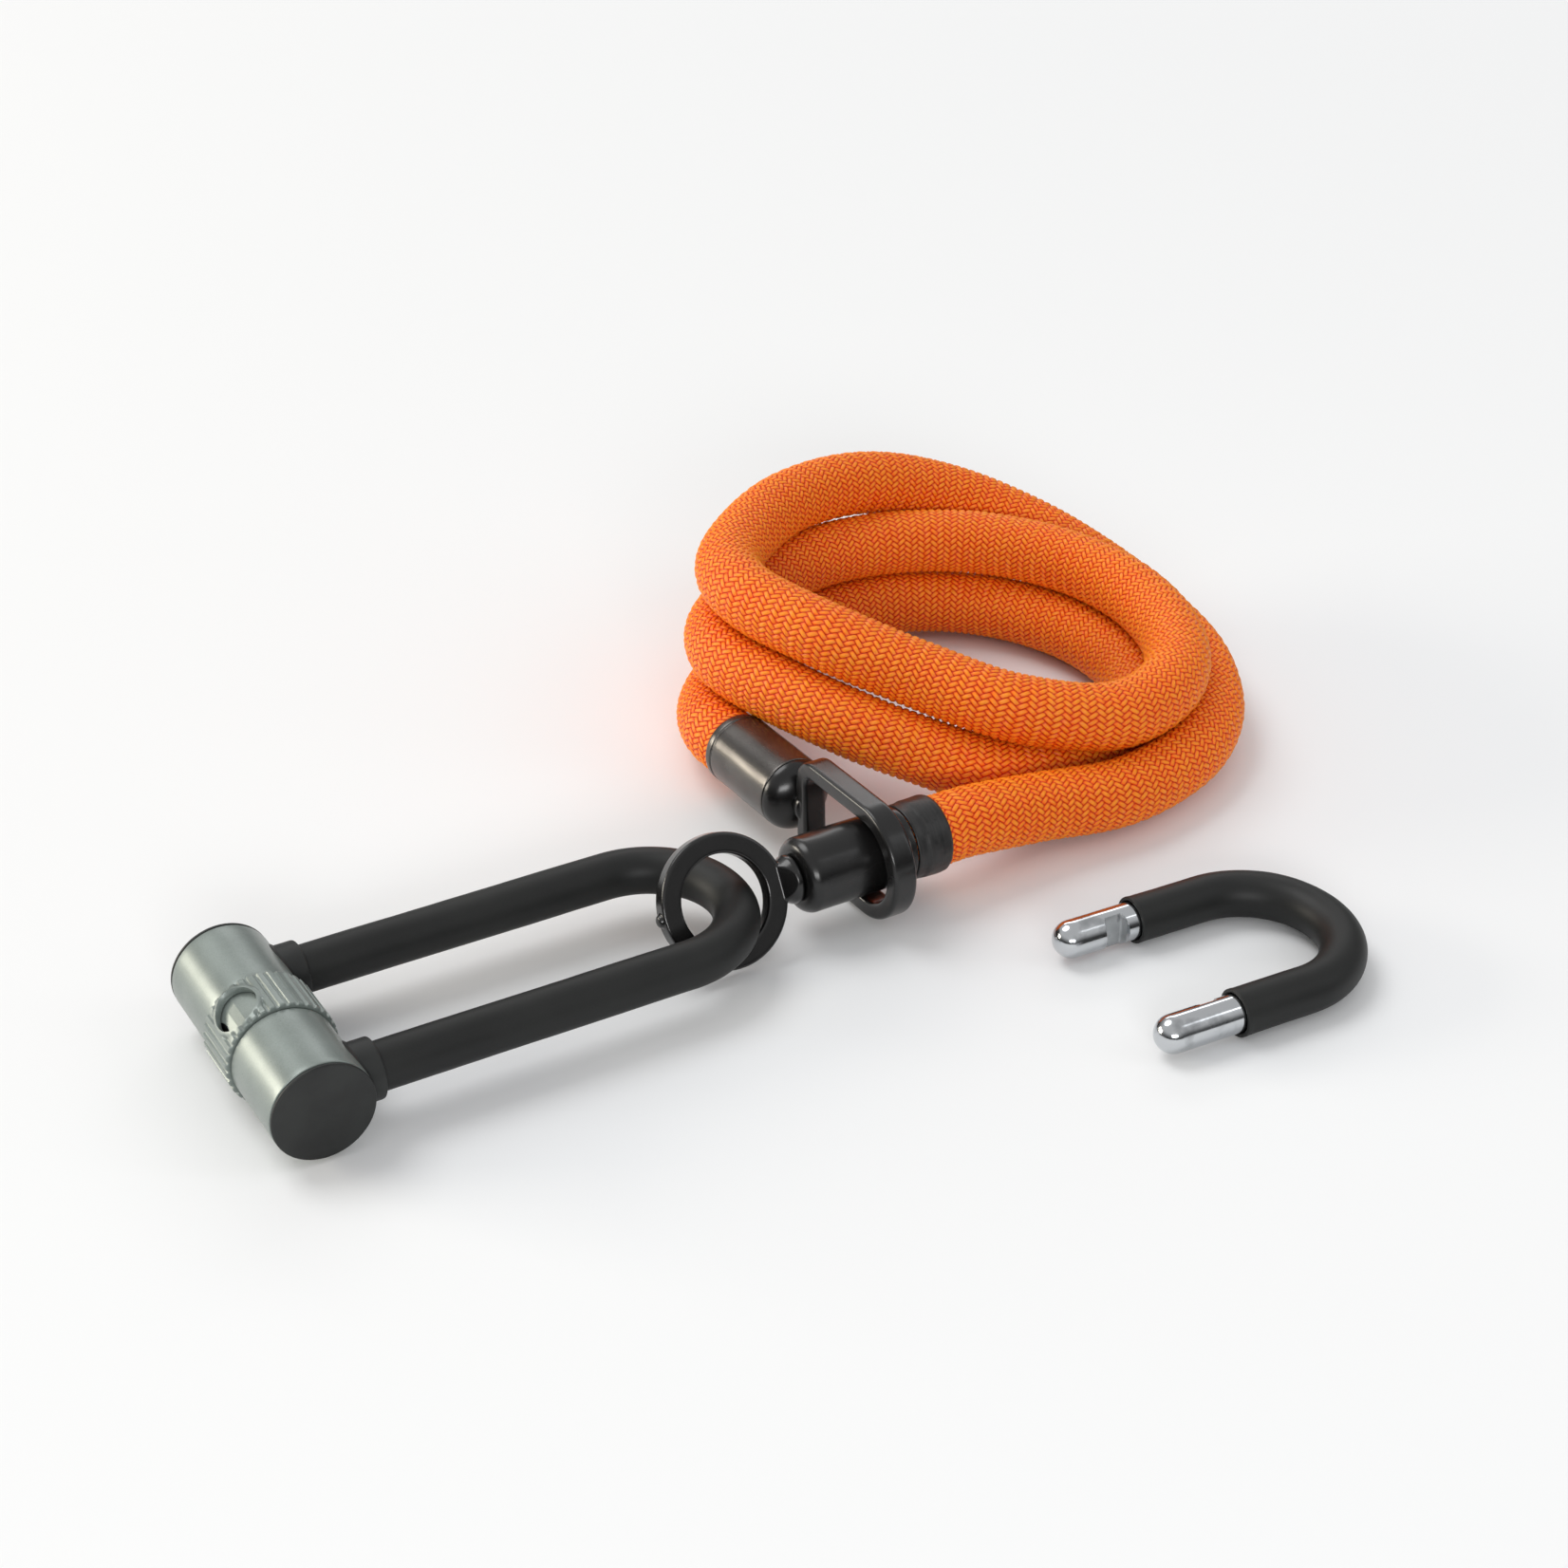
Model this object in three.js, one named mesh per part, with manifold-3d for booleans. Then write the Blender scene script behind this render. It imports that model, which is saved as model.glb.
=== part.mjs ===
// Textile noose lock: a braided rope with two steel end fittings, a small shackle
// lock on its ring, and a spare short shackle. Millimetres, +Z up, floor at z = 0.
import * as THREE from 'three';
import { mergeVertices } from 'three/addons/utils/BufferGeometryUtils.js';
import Module from 'manifold-3d';

const wasm = await Module();
wasm.setup();

// ---------------------------------------------------------------- driving sizes
const CLEAR = 0.3; // gap between pieces that seat on each other
const OVERCUT = 1; // how far a cutting tool runs past the face it opens

const ROPE_RADIUS = 12.25;
const ROPE_WALL = 3.05; // braided cover over the core
const ROPE_CORE_GAP = 1.1;
const ROPE_STEPS = 76;
const ROPE_SEAT = 4; // depth of the cover inside a ferrule's mouth

const FERRULE_RADIUS = 13.25;
const FERRULE_BORE = 9.2;
const FERRULE_CORNER = 2.5;
const CORE_GRIP = 19; // how far the rope core runs past the cover, inside a ferrule

const RING_RADIUS = 23;
const RING_HOLE_RADIUS = 15.9;
const RING_THICKNESS = 6;
const RING_LEAN = 30; // degrees from upright
const NECK_RADIUS = 8.5;
const RING_SHANK_RADIUS = 6;

const DEE_BAR = 6; // width of the flat bar
const DEE_PLAY = 1.75; // between the eye's bars and the ferrule that lies in it
const DEE_HALF_WIDTH = FERRULE_RADIUS + DEE_PLAY + DEE_BAR;
const DEE_DEPTH = 9;
const DEE_SHANK_RADIUS = 5;
const TONGUE_RADIUS = 4.2; // threaded end that carries a retainer
const RETAINER_RADIUS = 8.3;
const RETAINER_LENGTH = 6.5;

const STEEL_RADIUS = 6.5; // 13 mm shackle steel
const SLEEVE_RADIUS = 8;
const LEG_SPACING = 60;
const LONG_REACH = 131; // lock axis to the centre of the long shackle's bend
const SPARE_REACH = 45.5;
const TIP_DEPTH = 12.5; // how far a leg's tip goes past the lock axis
const NOTCH_CENTRE = 8.5;
const NOTCH_LENGTH = 9;
const NOTCH_DEPTH = 3.9;

const BODY_RADIUS = 17;
const SLEEVE_GAP = 0.5; // from the body's side to the end of the sleeve
const SLEEVE_MOUTH = BODY_RADIUS + SLEEVE_GAP;
const BUSH_RADIUS = 10.25;
const END_WALL = 3.15; // from a leg's collar to the end of the body
const BODY_HALF_LENGTH = LEG_SPACING / 2 + BUSH_RADIUS + END_WALL;
const BODY_WALL = 1.9;
const CAP_SEAT = 4.4; // from the core's end to the outside of the end cap
const CORE_HALF_LENGTH = BODY_HALF_LENGTH - CAP_SEAT;
const CAP_FLANGE = 1.2;
const BUSH_RISE = 5; // how far a leg's collar stands out of the body
const BUSH_TOP = BODY_RADIUS + BUSH_RISE;
const LEG_GAP = 0.4;

const COVER_RISE = 1.5; // the keyhole cover stands this far over the body
const COVER_WALL = 2;
const COVER_RADIUS = BODY_RADIUS + COVER_RISE;
const COLLAR_RADIUS = COVER_RADIUS - COVER_WALL - CLEAR; // the core under the keyhole cover
const COVER_HALF_LENGTH = 10;
const COVER_RIBS = 36;
const COVER_GROOVE = 0.5;
const WINDOW_RADIUS = 8;
const WINDOW_ANGLE = 55; // degrees from the keyhole, round the lock axis

const HOUSING_RADIUS = 9;
const HOUSING_SETBACK = 3.6; // the lock cylinder's front lies this deep in the body
const HOUSING_FRONT = HOUSING_SETBACK - BODY_RADIUS; // along the legs' direction, from the lock axis
const HOUSING_BACK = 4.2;
const PLUG_RADIUS = 6.2;
const PLUG_WALL = 1.3;
const PLUG_FACE = 1.6; // thickness of the plug's front wall
const KEYWAY_RADIUS = 3;
const KEYWAY_FLAT = 1; // the keyway is a circle cut flat at this height
const DISC_COUNT = 6;
const DISC_PITCH = 1.8;
const DISC_THICKNESS = 1.4;
const GUARD_THICKNESS = 1.6;
const SIDEBAR_WIDTH = 1.4;
const PIN_RADIUS = 1.5;

const BOLT_RADIUS = 3.5;
const CAM_HALF_SHORT = 4.2;
const CAM_HALF_LONG = 8.6;
const CAM_THICKNESS = 7;

const DETENT_RADIUS = 1.2;
const DETENT_STATION = 6; // along the lock axis
const SPRING_WIRE = 0.25;
const SPRING_TURNS = 3;

// ------------------------------------------------- where the pieces lie, before centring
const LOOP_CENTRE = [28.5, -82, 22.4]; // the ring ferrule's axis crosses the dee eye's here
const RING_END_TURN = 211; // degrees: the way the ring points
const DEE_END_TURN = -59;
const DEE_END_RISE = 2;
const RING_STATION = 57; // ring centre, from the loop centre towards the ring
const NOSE_STATION = 29.5;
const RING_MOUTH_STATION = -12;
const SHRINK_END_STATION = -26;
const DEE_BOW_STATION = 3; // centre of the eye's round end
const DEE_BAR_STATION = -40; // outer face of the straight bar
const DOME_TIP_STATION = -41;
const DOME_BASE_STATION = -48.7;
const DEE_MOUTH_STATION = -88.5;
const BEND_ANGLE = 18.5; // where the ring hangs on the long bend, degrees from its crown
const BEND_PLACE = [-16.15, -110.52]; // that point of the bend
const LOCK_TURN = -60;
const SPARE_PLACE = [114.7, -136];
const SPARE_TURN = -62.3;

// The rope's free route between the two mouths, from the ring end to the dee end.
const ROPE_ROUTE = [
  [89, -45, 18], [121, -28, 14], [147.6, -0.5, 13.5], [159.1, 29.4, 14.3], [157.6, 64.9, 16.8],
  [144.4, 97.3, 19.5], [123.7, 124.8, 25.7], [94.8, 142.5, 36.1], [62.4, 145.6, 48.1],
  [31.1, 133.2, 58.4], [3.6, 110.2, 62.1], [-14.1, 78.9, 62.8], [-20.6, 47.6, 63.6],
  [-12.4, 23.7, 64.6], [12.2, 3, 61.3], [47.7, -8.8, 50.9], [83.6, -19.3, 42.8],
  [118.5, -12.1, 36], [140.1, 11.4, 35.2], [145.5, 42.7, 35.5], [133.5, 80.5, 36.5],
  [109.1, 107.8, 37.2], [76.9, 121.3, 37.9], [42.1, 120.2, 38.6], [12.2, 107.5, 38.3],
  [-12.5, 79.7, 37.9], [-24.6, 47.1, 38.9], [-20.8, 21, 41], [-4.8, 1.8, 40.2], [18, -12.6, 35.9],
  [41.7, -19.7, 29], [75.5, -21.5, 18.8], [111, -3.9, 13.2], [131.7, 23.4, 13.3],
  [131.9, 61.5, 12.9], [111.1, 96.2, 13.2], [77, 116.2, 13.3], [38.1, 116, 13.8],
  [5.1, 97.8, 13.3], [-18, 65, 13], [-27.5, 30, 15],
];

// ---------------------------------------------------------------- finishes
const finish = (color, roughness, metalness) => ({ color, roughness, metalness });
const ORANGE_BRAID = finish(0xf2600f, 0.85, 0);
const ROPE_YARN = finish(0xd9d2c0, 0.9, 0);
const SATIN_BLACK = finish(0x141414, 0.35, 0.6);
const SHRINK_BLACK = finish(0x101010, 0.6, 0);
const RUBBER_BLACK = finish(0x161616, 0.75, 0);
const BARE_STEEL = finish(0xc6c9cc, 0.18, 1);
const DARK_STEEL = finish(0x55585b, 0.4, 1);
const SHELL_GREY = finish(0x5d6461, 0.4, 0.35);
const CAP_BLACK = finish(0x1a1b1b, 0.55, 0);
const BRASS = finish(0xb08a3e, 0.35, 1);

// ---------------------------------------------------------------- helpers
const radians = THREE.MathUtils.degToRad;

/** Turns a three.js geometry into a manifold solid. */
function toSolid(geometry) {
  const bare = geometry.clone();
  bare.deleteAttribute('normal');
  bare.deleteAttribute('uv');
  const merged = mergeVertices(bare, 1e-4);
  const vertProperties = new Float32Array(merged.attributes.position.array);
  const triVerts = new Uint32Array(merged.index.array);
  return new wasm.Manifold(new wasm.Mesh({ numProp: 3, vertProperties, triVerts }));
}

/** Turns a manifold solid back into a three.js geometry. */
function toGeometry(solid) {
  const mesh = solid.getMesh();
  const geometry = new THREE.BufferGeometry();
  geometry.setAttribute('position', new THREE.BufferAttribute(mesh.vertProperties, 3));
  geometry.setIndex(new THREE.BufferAttribute(mesh.triVerts, 1));
  geometry.computeVertexNormals();
  return geometry;
}

/** Joins geometries into one closed body. */
function join(...geometries) {
  return toGeometry(geometries.map(toSolid).reduce((sum, next) => sum.add(next)));
}

/** Takes the tools away from a geometry. */
function cut(geometry, ...tools) {
  return toGeometry(tools.map(toSolid).reduce((rest, tool) => rest.subtract(tool), toSolid(geometry)));
}

/** A body of revolution about X from [station, radius] points that start and end on the axis. */
function turned(points, sides = 24) {
  const profile = points.map(([station, radius]) => new THREE.Vector2(radius, station));
  return new THREE.LatheGeometry(profile, sides).rotateZ(-Math.PI / 2);
}

/** A tube about X: inner and outer are [station, radius] lists that run the same way. */
function turnedTube(inner, outer, sides = 24) {
  const loop = [...outer, ...[...inner].reverse()];
  return turned([...loop, loop[0]], sides);
}

/** A plain cylinder about X between two stations. */
function rod(radius, from, to, sides = 20) {
  return turned([[from, 0], [from, radius], [to, radius], [to, 0]], sides);
}

/** Turns a piece made about X so that it lies along Y. */
const alongY = (geometry) => geometry.rotateZ(Math.PI / 2);

/** Turns a piece made about X so that it lies along Z. */
const alongZ = (geometry) => geometry.rotateY(-Math.PI / 2);

/** A box from its lowest and highest corners. */
function block(low, high) {
  const size = high.map((value, axis) => value - low[axis]);
  const middle = high.map((value, axis) => (value + low[axis]) / 2);
  return new THREE.BoxGeometry(...size).translate(...middle);
}

/** A flat plate in the XY plane, centred on it, with bevelled edges. */
function plate(shape, thickness, bevel, curveSegments) {
  const geometry = new THREE.ExtrudeGeometry(shape, {
    depth: thickness - 2 * bevel,
    bevelEnabled: bevel > 0,
    bevelSize: bevel,
    bevelOffset: -bevel,
    bevelThickness: bevel,
    bevelSegments: 1,
    curveSegments,
  });
  return geometry.translate(0, 0, bevel - thickness / 2);
}

/** A circle as a path. */
function circle(radius) {
  return new THREE.Shape().absarc(0, 0, radius, 0, 2 * Math.PI, false);
}

/** A hollow or solid tube along a curve. */
function tubeAlong(curve, radius, bore, steps, sides) {
  const section = circle(radius);
  if (bore > 0) {
    section.holes.push(circle(bore));
  }
  return new THREE.ExtrudeGeometry(section, { steps, extrudePath: curve, curveSegments: sides / 2 });
}

/** The half circle of a shackle's bend, in the XY plane. */
class Bend extends THREE.Curve {
  constructor(radius, reach) {
    super();
    this.radius = radius;
    this.reach = reach;
  }

  getPoint(t, target = new THREE.Vector3()) {
    const angle = Math.PI * t;
    return target.set(this.radius * Math.cos(angle), this.reach + this.radius * Math.sin(angle), 0);
  }
}

/** The helix of a small coil spring along Z. */
class Helix extends THREE.Curve {
  constructor(radius, height, turns) {
    super();
    this.radius = radius;
    this.height = height;
    this.turns = turns;
  }

  getPoint(t, target = new THREE.Vector3()) {
    const angle = 2 * Math.PI * this.turns * t;
    return target.set(this.radius * Math.cos(angle), this.radius * Math.sin(angle), this.height * t);
  }
}

/** A named mesh with its own material. */
function piece(name, geometry, look) {
  const mesh = new THREE.Mesh(geometry, new THREE.MeshStandardMaterial(look));
  mesh.name = name;
  return mesh;
}

/** A group of pieces. */
function assembly(...pieces) {
  const group = new THREE.Group();
  group.add(...pieces);
  return group;
}

// ---------------------------------------------------------------- rope
/** A point on a fitting's axis, in the frame of the whole object. */
function onAxis(group, station) {
  group.updateMatrixWorld(true);
  return group.localToWorld(new THREE.Vector3(station, 0, 0));
}

/** The rope's centreline from one ferrule's seat to the other's. */
function ropeCurve(ringEnd, deeEnd) {
  const start = RING_MOUTH_STATION + ROPE_SEAT - CLEAR;
  const end = DEE_MOUTH_STATION + ROPE_SEAT - CLEAR;
  const shrinkLength = start - SHRINK_END_STATION;
  const points = [
    onAxis(ringEnd, start),
    onAxis(ringEnd, start - shrinkLength / 2),
    onAxis(ringEnd, SHRINK_END_STATION),
    onAxis(ringEnd, SHRINK_END_STATION - 3 * ROPE_SEAT),
    ...ROPE_ROUTE.map((point) => new THREE.Vector3(...point)),
    onAxis(deeEnd, DEE_MOUTH_STATION - 3.5 * ROPE_SEAT),
    onAxis(deeEnd, DEE_MOUTH_STATION - CLEAR),
    onAxis(deeEnd, end),
  ];
  const curve = new THREE.CatmullRomCurve3(points, false, 'centripetal');
  curve.arcLengthDivisions = 8 * ROPE_STEPS;
  return curve;
}

/** The straight end of the rope core inside a ferrule. */
function coreEnd(group, from, to, radius) {
  return rod(radius, from, to, 6).applyMatrix4(group.matrixWorld);
}

function buildRope(ringEnd, deeEnd) {
  const curve = ropeCurve(ringEnd, deeEnd);
  const bore = ROPE_RADIUS - ROPE_WALL;
  const coreRadius = bore - ROPE_CORE_GAP;
  const cover = tubeAlong(curve, ROPE_RADIUS, bore, ROPE_STEPS, 10);
  const ringSeat = RING_MOUTH_STATION + ROPE_SEAT - 2 * OVERCUT;
  const deeSeat = DEE_MOUTH_STATION + ROPE_SEAT - 2 * OVERCUT;
  const core = join(
    tubeAlong(curve, coreRadius, 0, ROPE_STEPS, 6),
    coreEnd(ringEnd, ringSeat, ringSeat + CORE_GRIP, coreRadius),
    coreEnd(deeEnd, deeSeat, deeSeat + CORE_GRIP, coreRadius),
  );
  return assembly(piece('rope_cover', cover, ORANGE_BRAID), piece('rope_core', core, ROPE_YARN));
}

// ---------------------------------------------------------------- ring end
/** The crimped barrel that holds the rope on the ring's side. */
function ringFerrule() {
  const mouth = RING_MOUTH_STATION;
  const seat = mouth + ROPE_SEAT;
  const wall = NOSE_STATION - RETAINER_LENGTH;
  const corner = FERRULE_CORNER;
  const inner = [
    [mouth, ROPE_RADIUS + CLEAR], [seat, ROPE_RADIUS + CLEAR], [seat, FERRULE_BORE], [wall, FERRULE_BORE],
    [wall, RING_SHANK_RADIUS + CLEAR], [NOSE_STATION, RING_SHANK_RADIUS + CLEAR],
  ];
  const outer = [
    [mouth, FERRULE_RADIUS], [NOSE_STATION - corner, FERRULE_RADIUS],
    [NOSE_STATION - 0.3 * corner, FERRULE_RADIUS - 0.3 * corner], [NOSE_STATION, FERRULE_RADIUS - corner],
  ];
  return turnedTube(inner, outer);
}

/** The stepped shrink sleeve over the rope behind the barrel. */
function shrinkSleeve() {
  const from = SHRINK_END_STATION;
  const to = RING_MOUTH_STATION - CLEAR;
  const step = (from + to) / 2 + 2;
  const thin = FERRULE_RADIUS + 0.1;
  const thick = FERRULE_RADIUS + 0.65;
  const inner = [[from, ROPE_RADIUS + CLEAR], [to, ROPE_RADIUS + CLEAR]];
  const outer = [[from, thin], [from + 1, thick], [step, thick], [step + 2, thin], [to, thin]];
  return turnedTube(inner, outer);
}

/** The forged ring with its neck and shank, ring centre at RING_STATION. */
function ringEye() {
  const outline = circle(RING_RADIUS);
  outline.holes.push(circle(RING_HOLE_RADIUS));
  const middle = (RING_RADIUS + RING_HOLE_RADIUS) / 2;
  const ring = plate(outline, RING_THICKNESS, 1, 16)
    .rotateX(radians(90 + RING_LEAN))
    .translate(RING_STATION, 0, 0);
  const wall = NOSE_STATION - RETAINER_LENGTH;
  const tongueEnd = wall - RETAINER_LENGTH - 3 * CLEAR;
  const neck = turned([
    [tongueEnd, 0], [tongueEnd, TONGUE_RADIUS], [wall, TONGUE_RADIUS], [wall, RING_SHANK_RADIUS],
    [NOSE_STATION + CLEAR, RING_SHANK_RADIUS], [NOSE_STATION + CLEAR, NECK_RADIUS],
    [NOSE_STATION + 3, NECK_RADIUS], [RING_STATION - middle, RING_THICKNESS / 2],
    [RING_STATION - middle, 0],
  ], 24);
  const boss = rod(RING_THICKNESS / 3, RING_STATION + middle, RING_STATION + RING_RADIUS + 1.5, 12);
  return join(ring, neck, boss);
}

/** A hexagonal retainer nut on a tongue, between two stations. */
function retainer(from, to) {
  return cut(rod(RETAINER_RADIUS, from, to, 6), rod(TONGUE_RADIUS + CLEAR, from - OVERCUT, to + OVERCUT, 24));
}

function buildRingEnd() {
  const retainerEnd = NOSE_STATION - RETAINER_LENGTH - CLEAR;
  const group = assembly(
    piece('ring_end_ferrule', ringFerrule(), SATIN_BLACK),
    piece('ring_end_shrink_sleeve', shrinkSleeve(), SHRINK_BLACK),
    piece('ring_eye', ringEye(), SATIN_BLACK),
    piece('ring_eye_retainer', retainer(retainerEnd - RETAINER_LENGTH, retainerEnd), DARK_STEEL),
  );
  group.position.set(...LOOP_CENTRE);
  group.rotation.z = radians(RING_END_TURN);
  return group;
}

// ---------------------------------------------------------------- dee end
/** The crimped barrel that holds the rope on the dee eye's side. */
function deeFerrule() {
  const mouth = DEE_MOUTH_STATION;
  const seat = mouth + ROPE_SEAT;
  const end = DOME_BASE_STATION - CLEAR;
  const lip = mouth + 3;
  const inner = [
    [mouth, ROPE_RADIUS + CLEAR], [seat, ROPE_RADIUS + CLEAR], [seat, FERRULE_BORE], [end, FERRULE_BORE],
  ];
  const outer = [
    [mouth, FERRULE_RADIUS - 0.3], [mouth + 0.6, FERRULE_RADIUS], [lip, FERRULE_RADIUS],
    [lip + 0.3, FERRULE_RADIUS - 0.3], [lip + 0.6, FERRULE_RADIUS], [end, FERRULE_RADIUS],
  ];
  return turnedTube(inner, outer);
}

/** The domed cap that closes the barrel round the dee eye's shank. */
function deeCap() {
  const plugEnd = DOME_BASE_STATION - RETAINER_LENGTH;
  const bore = DEE_SHANK_RADIUS + CLEAR;
  const height = DOME_TIP_STATION - DOME_BASE_STATION;
  const dome = [];
  const steps = 5;
  const lastAngle = Math.acos(bore / FERRULE_RADIUS);
  for (let step = 0; step <= steps; step += 1) {
    const angle = (lastAngle * step) / steps;
    const station = DOME_BASE_STATION + (height * Math.sin(angle)) / Math.sin(lastAngle);
    dome.push([station, FERRULE_RADIUS * Math.cos(angle)]);
  }
  const plug = FERRULE_BORE - CLEAR;
  const outer = [[plugEnd, plug], [DOME_BASE_STATION, plug], ...dome];
  return turned([[plugEnd, bore], ...outer, [plugEnd, bore]]);
}

/** The D-shaped outline of the eye, shrunk by an inset. */
function deeOutline(inset, corner) {
  const half = DEE_HALF_WIDTH - inset;
  const left = DEE_BAR_STATION + inset;
  const shape = new THREE.Shape();
  shape.moveTo(DEE_BOW_STATION, -half);
  shape.absarc(DEE_BOW_STATION, 0, half, -Math.PI / 2, Math.PI / 2, false);
  shape.lineTo(left + corner, half);
  shape.absarc(left + corner, half - corner, corner, Math.PI / 2, Math.PI, false);
  shape.lineTo(left, corner - half);
  shape.absarc(left + corner, corner - half, corner, Math.PI, 1.5 * Math.PI, false);
  return shape;
}

/** The flat-bar eye with the shank that turns in the domed cap. */
function deeEye() {
  const outline = deeOutline(0, 2 * DEE_BAR / 1.2);
  outline.holes.push(deeOutline(DEE_BAR, DEE_BAR / 1.5));
  const eye = plate(outline, DEE_DEPTH, 1, 9).rotateX(Math.PI / 2);
  const plugEnd = DOME_BASE_STATION - RETAINER_LENGTH;
  const tongueEnd = plugEnd - RETAINER_LENGTH - 3 * CLEAR;
  const shank = turned([
    [tongueEnd, 0], [tongueEnd, TONGUE_RADIUS], [plugEnd, TONGUE_RADIUS],
    [plugEnd, DEE_SHANK_RADIUS], [DEE_BAR_STATION + DEE_BAR / 2, DEE_SHANK_RADIUS],
    [DEE_BAR_STATION + DEE_BAR / 2, 0],
  ], 24);
  const insideEye = block(
    [DEE_BAR_STATION + DEE_BAR / 2, -DEE_SHANK_RADIUS, -DEE_SHANK_RADIUS],
    [DEE_BAR_STATION + DEE_BAR, DEE_SHANK_RADIUS, DEE_SHANK_RADIUS],
  );
  return join(eye, cut(shank, insideEye));
}

function buildDeeEnd() {
  const retainerEnd = DOME_BASE_STATION - RETAINER_LENGTH - CLEAR;
  const group = assembly(
    piece('dee_end_ferrule', deeFerrule(), SATIN_BLACK),
    piece('dee_end_cap', deeCap(), SATIN_BLACK),
    piece('dee_eye', deeEye(), SATIN_BLACK),
    piece('dee_eye_retainer', retainer(retainerEnd - RETAINER_LENGTH, retainerEnd), DARK_STEEL),
  );
  group.position.set(...LOOP_CENTRE);
  group.rotation.set(0, -radians(DEE_END_RISE), radians(DEE_END_TURN), 'ZYX');
  return group;
}

// ---------------------------------------------------------------- shackles
/** A U-shaped rod, legs along Y at half the spacing, from two end pieces and a bend. */
function shackleRod(radius, bore, from, reach, makeLeg) {
  const half = LEG_SPACING / 2;
  const bend = tubeAlong(new Bend(half, reach), radius, bore, 12, 12);
  const leg = makeLeg(from, reach + CLEAR);
  const right = leg.clone().translate(half, 0, 0);
  const left = leg.clone().translate(-half, 0, 0);
  return join(bend, left, right);
}

/** A leg of bare steel with a round tip. */
function steelLeg(from, to) {
  const points = [[from, 0]];
  const steps = 5;
  for (let step = 1; step <= steps; step += 1) {
    const angle = (Math.PI / 2) * (step / steps);
    points.push([from + STEEL_RADIUS * (1 - Math.cos(angle)), STEEL_RADIUS * Math.sin(angle)]);
  }
  points.push([to, STEEL_RADIUS], [to, 0]);
  return alongY(turned(points, 12));
}

/** A leg of the rubber sleeve. */
function sleeveLeg(from, to) {
  const bore = STEEL_RADIUS + CLEAR;
  return alongY(turnedTube([[from, bore], [to, bore]], [[from, SLEEVE_RADIUS], [to, SLEEVE_RADIUS]], 12));
}

/** The steel bar with a bolt notch on the inner side of each leg. */
function shackleBar(reach) {
  const bar = shackleRod(STEEL_RADIUS, 0, -TIP_DEPTH, reach, steelLeg);
  const inner = LEG_SPACING / 2 - STEEL_RADIUS;
  const low = NOTCH_CENTRE - NOTCH_LENGTH / 2;
  const high = NOTCH_CENTRE + NOTCH_LENGTH / 2;
  const floor = inner + NOTCH_DEPTH;
  const rightNotch = block([inner - OVERCUT, low, -STEEL_RADIUS], [floor, high, STEEL_RADIUS]);
  const leftNotch = block([-floor, low, -STEEL_RADIUS], [OVERCUT - inner, high, STEEL_RADIUS]);
  return cut(bar, rightNotch, leftNotch);
}

/** The sleeve that covers a shackle's bend and the outer part of its legs. */
function shackleSleeve(reach) {
  return shackleRod(SLEEVE_RADIUS, STEEL_RADIUS + CLEAR, SLEEVE_MOUTH, reach, sleeveLeg);
}

function buildShackle(name, reach) {
  return assembly(
    piece(`${name}_bar`, shackleBar(reach), BARE_STEEL),
    piece(`${name}_sleeve`, shackleSleeve(reach), RUBBER_BLACK),
  );
}

// ---------------------------------------------------------------- lock body
/** The room a leg needs, from its round seat out through the bar. */
function legBore() {
  const radius = STEEL_RADIUS + LEG_GAP;
  const centre = STEEL_RADIUS - TIP_DEPTH;
  const points = [[centre - radius, 0]];
  const steps = 5;
  for (let step = 1; step <= steps; step += 1) {
    const angle = (Math.PI / 2) * (step / steps);
    points.push([centre - radius * Math.cos(angle), radius * Math.sin(angle)]);
  }
  points.push([BODY_RADIUS + OVERCUT, radius], [BODY_RADIUS + OVERCUT, 0]);
  return alongY(turned(points, 16));
}

const CAM_BACK = NOTCH_CENTRE + CAM_THICKNESS / 2;
const PIN_PLACE = [-6, HOUSING_RADIUS + 0.2]; // along the legs' direction, and up
const DETENT_TOP = COLLAR_RADIUS - 0.05;
const DETENT_FLOOR = 11;

/** The steel crossbar: leg bores, lock cylinder bore, bolt channel, pin hole and detent hole. */
function bodyCore() {
  const blank = turned([
    [-CORE_HALF_LENGTH, 0], [-CORE_HALF_LENGTH, BODY_RADIUS - BODY_WALL - CLEAR],
    [-COVER_HALF_LENGTH, BODY_RADIUS - BODY_WALL - CLEAR], [-COVER_HALF_LENGTH, COLLAR_RADIUS],
    [COVER_HALF_LENGTH, COLLAR_RADIUS], [COVER_HALF_LENGTH, BODY_RADIUS - BODY_WALL - CLEAR],
    [CORE_HALF_LENGTH, BODY_RADIUS - BODY_WALL - CLEAR], [CORE_HALF_LENGTH, 0],
  ], 32);
  const half = LEG_SPACING / 2;
  const cylinderBore = rod(HOUSING_RADIUS + CLEAR, -BODY_RADIUS - OVERCUT, CAM_BACK + 0.8, 24);
  const detentHole = rod(DETENT_RADIUS + CLEAR, DETENT_FLOOR, BODY_RADIUS + OVERCUT, 12);
  return cut(
    blank,
    legBore().translate(half, 0, 0),
    legBore().translate(-half, 0, 0),
    alongY(cylinderBore),
    rod(BOLT_RADIUS + CLEAR, -half, half, 20).translate(0, NOTCH_CENTRE, 0),
    rod(PIN_RADIUS + CLEAR, -HOUSING_RADIUS - 3, half, 12).translate(0, ...PIN_PLACE),
    alongZ(detentHole).translate(DETENT_STATION, 0, 0),
  );
}

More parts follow.
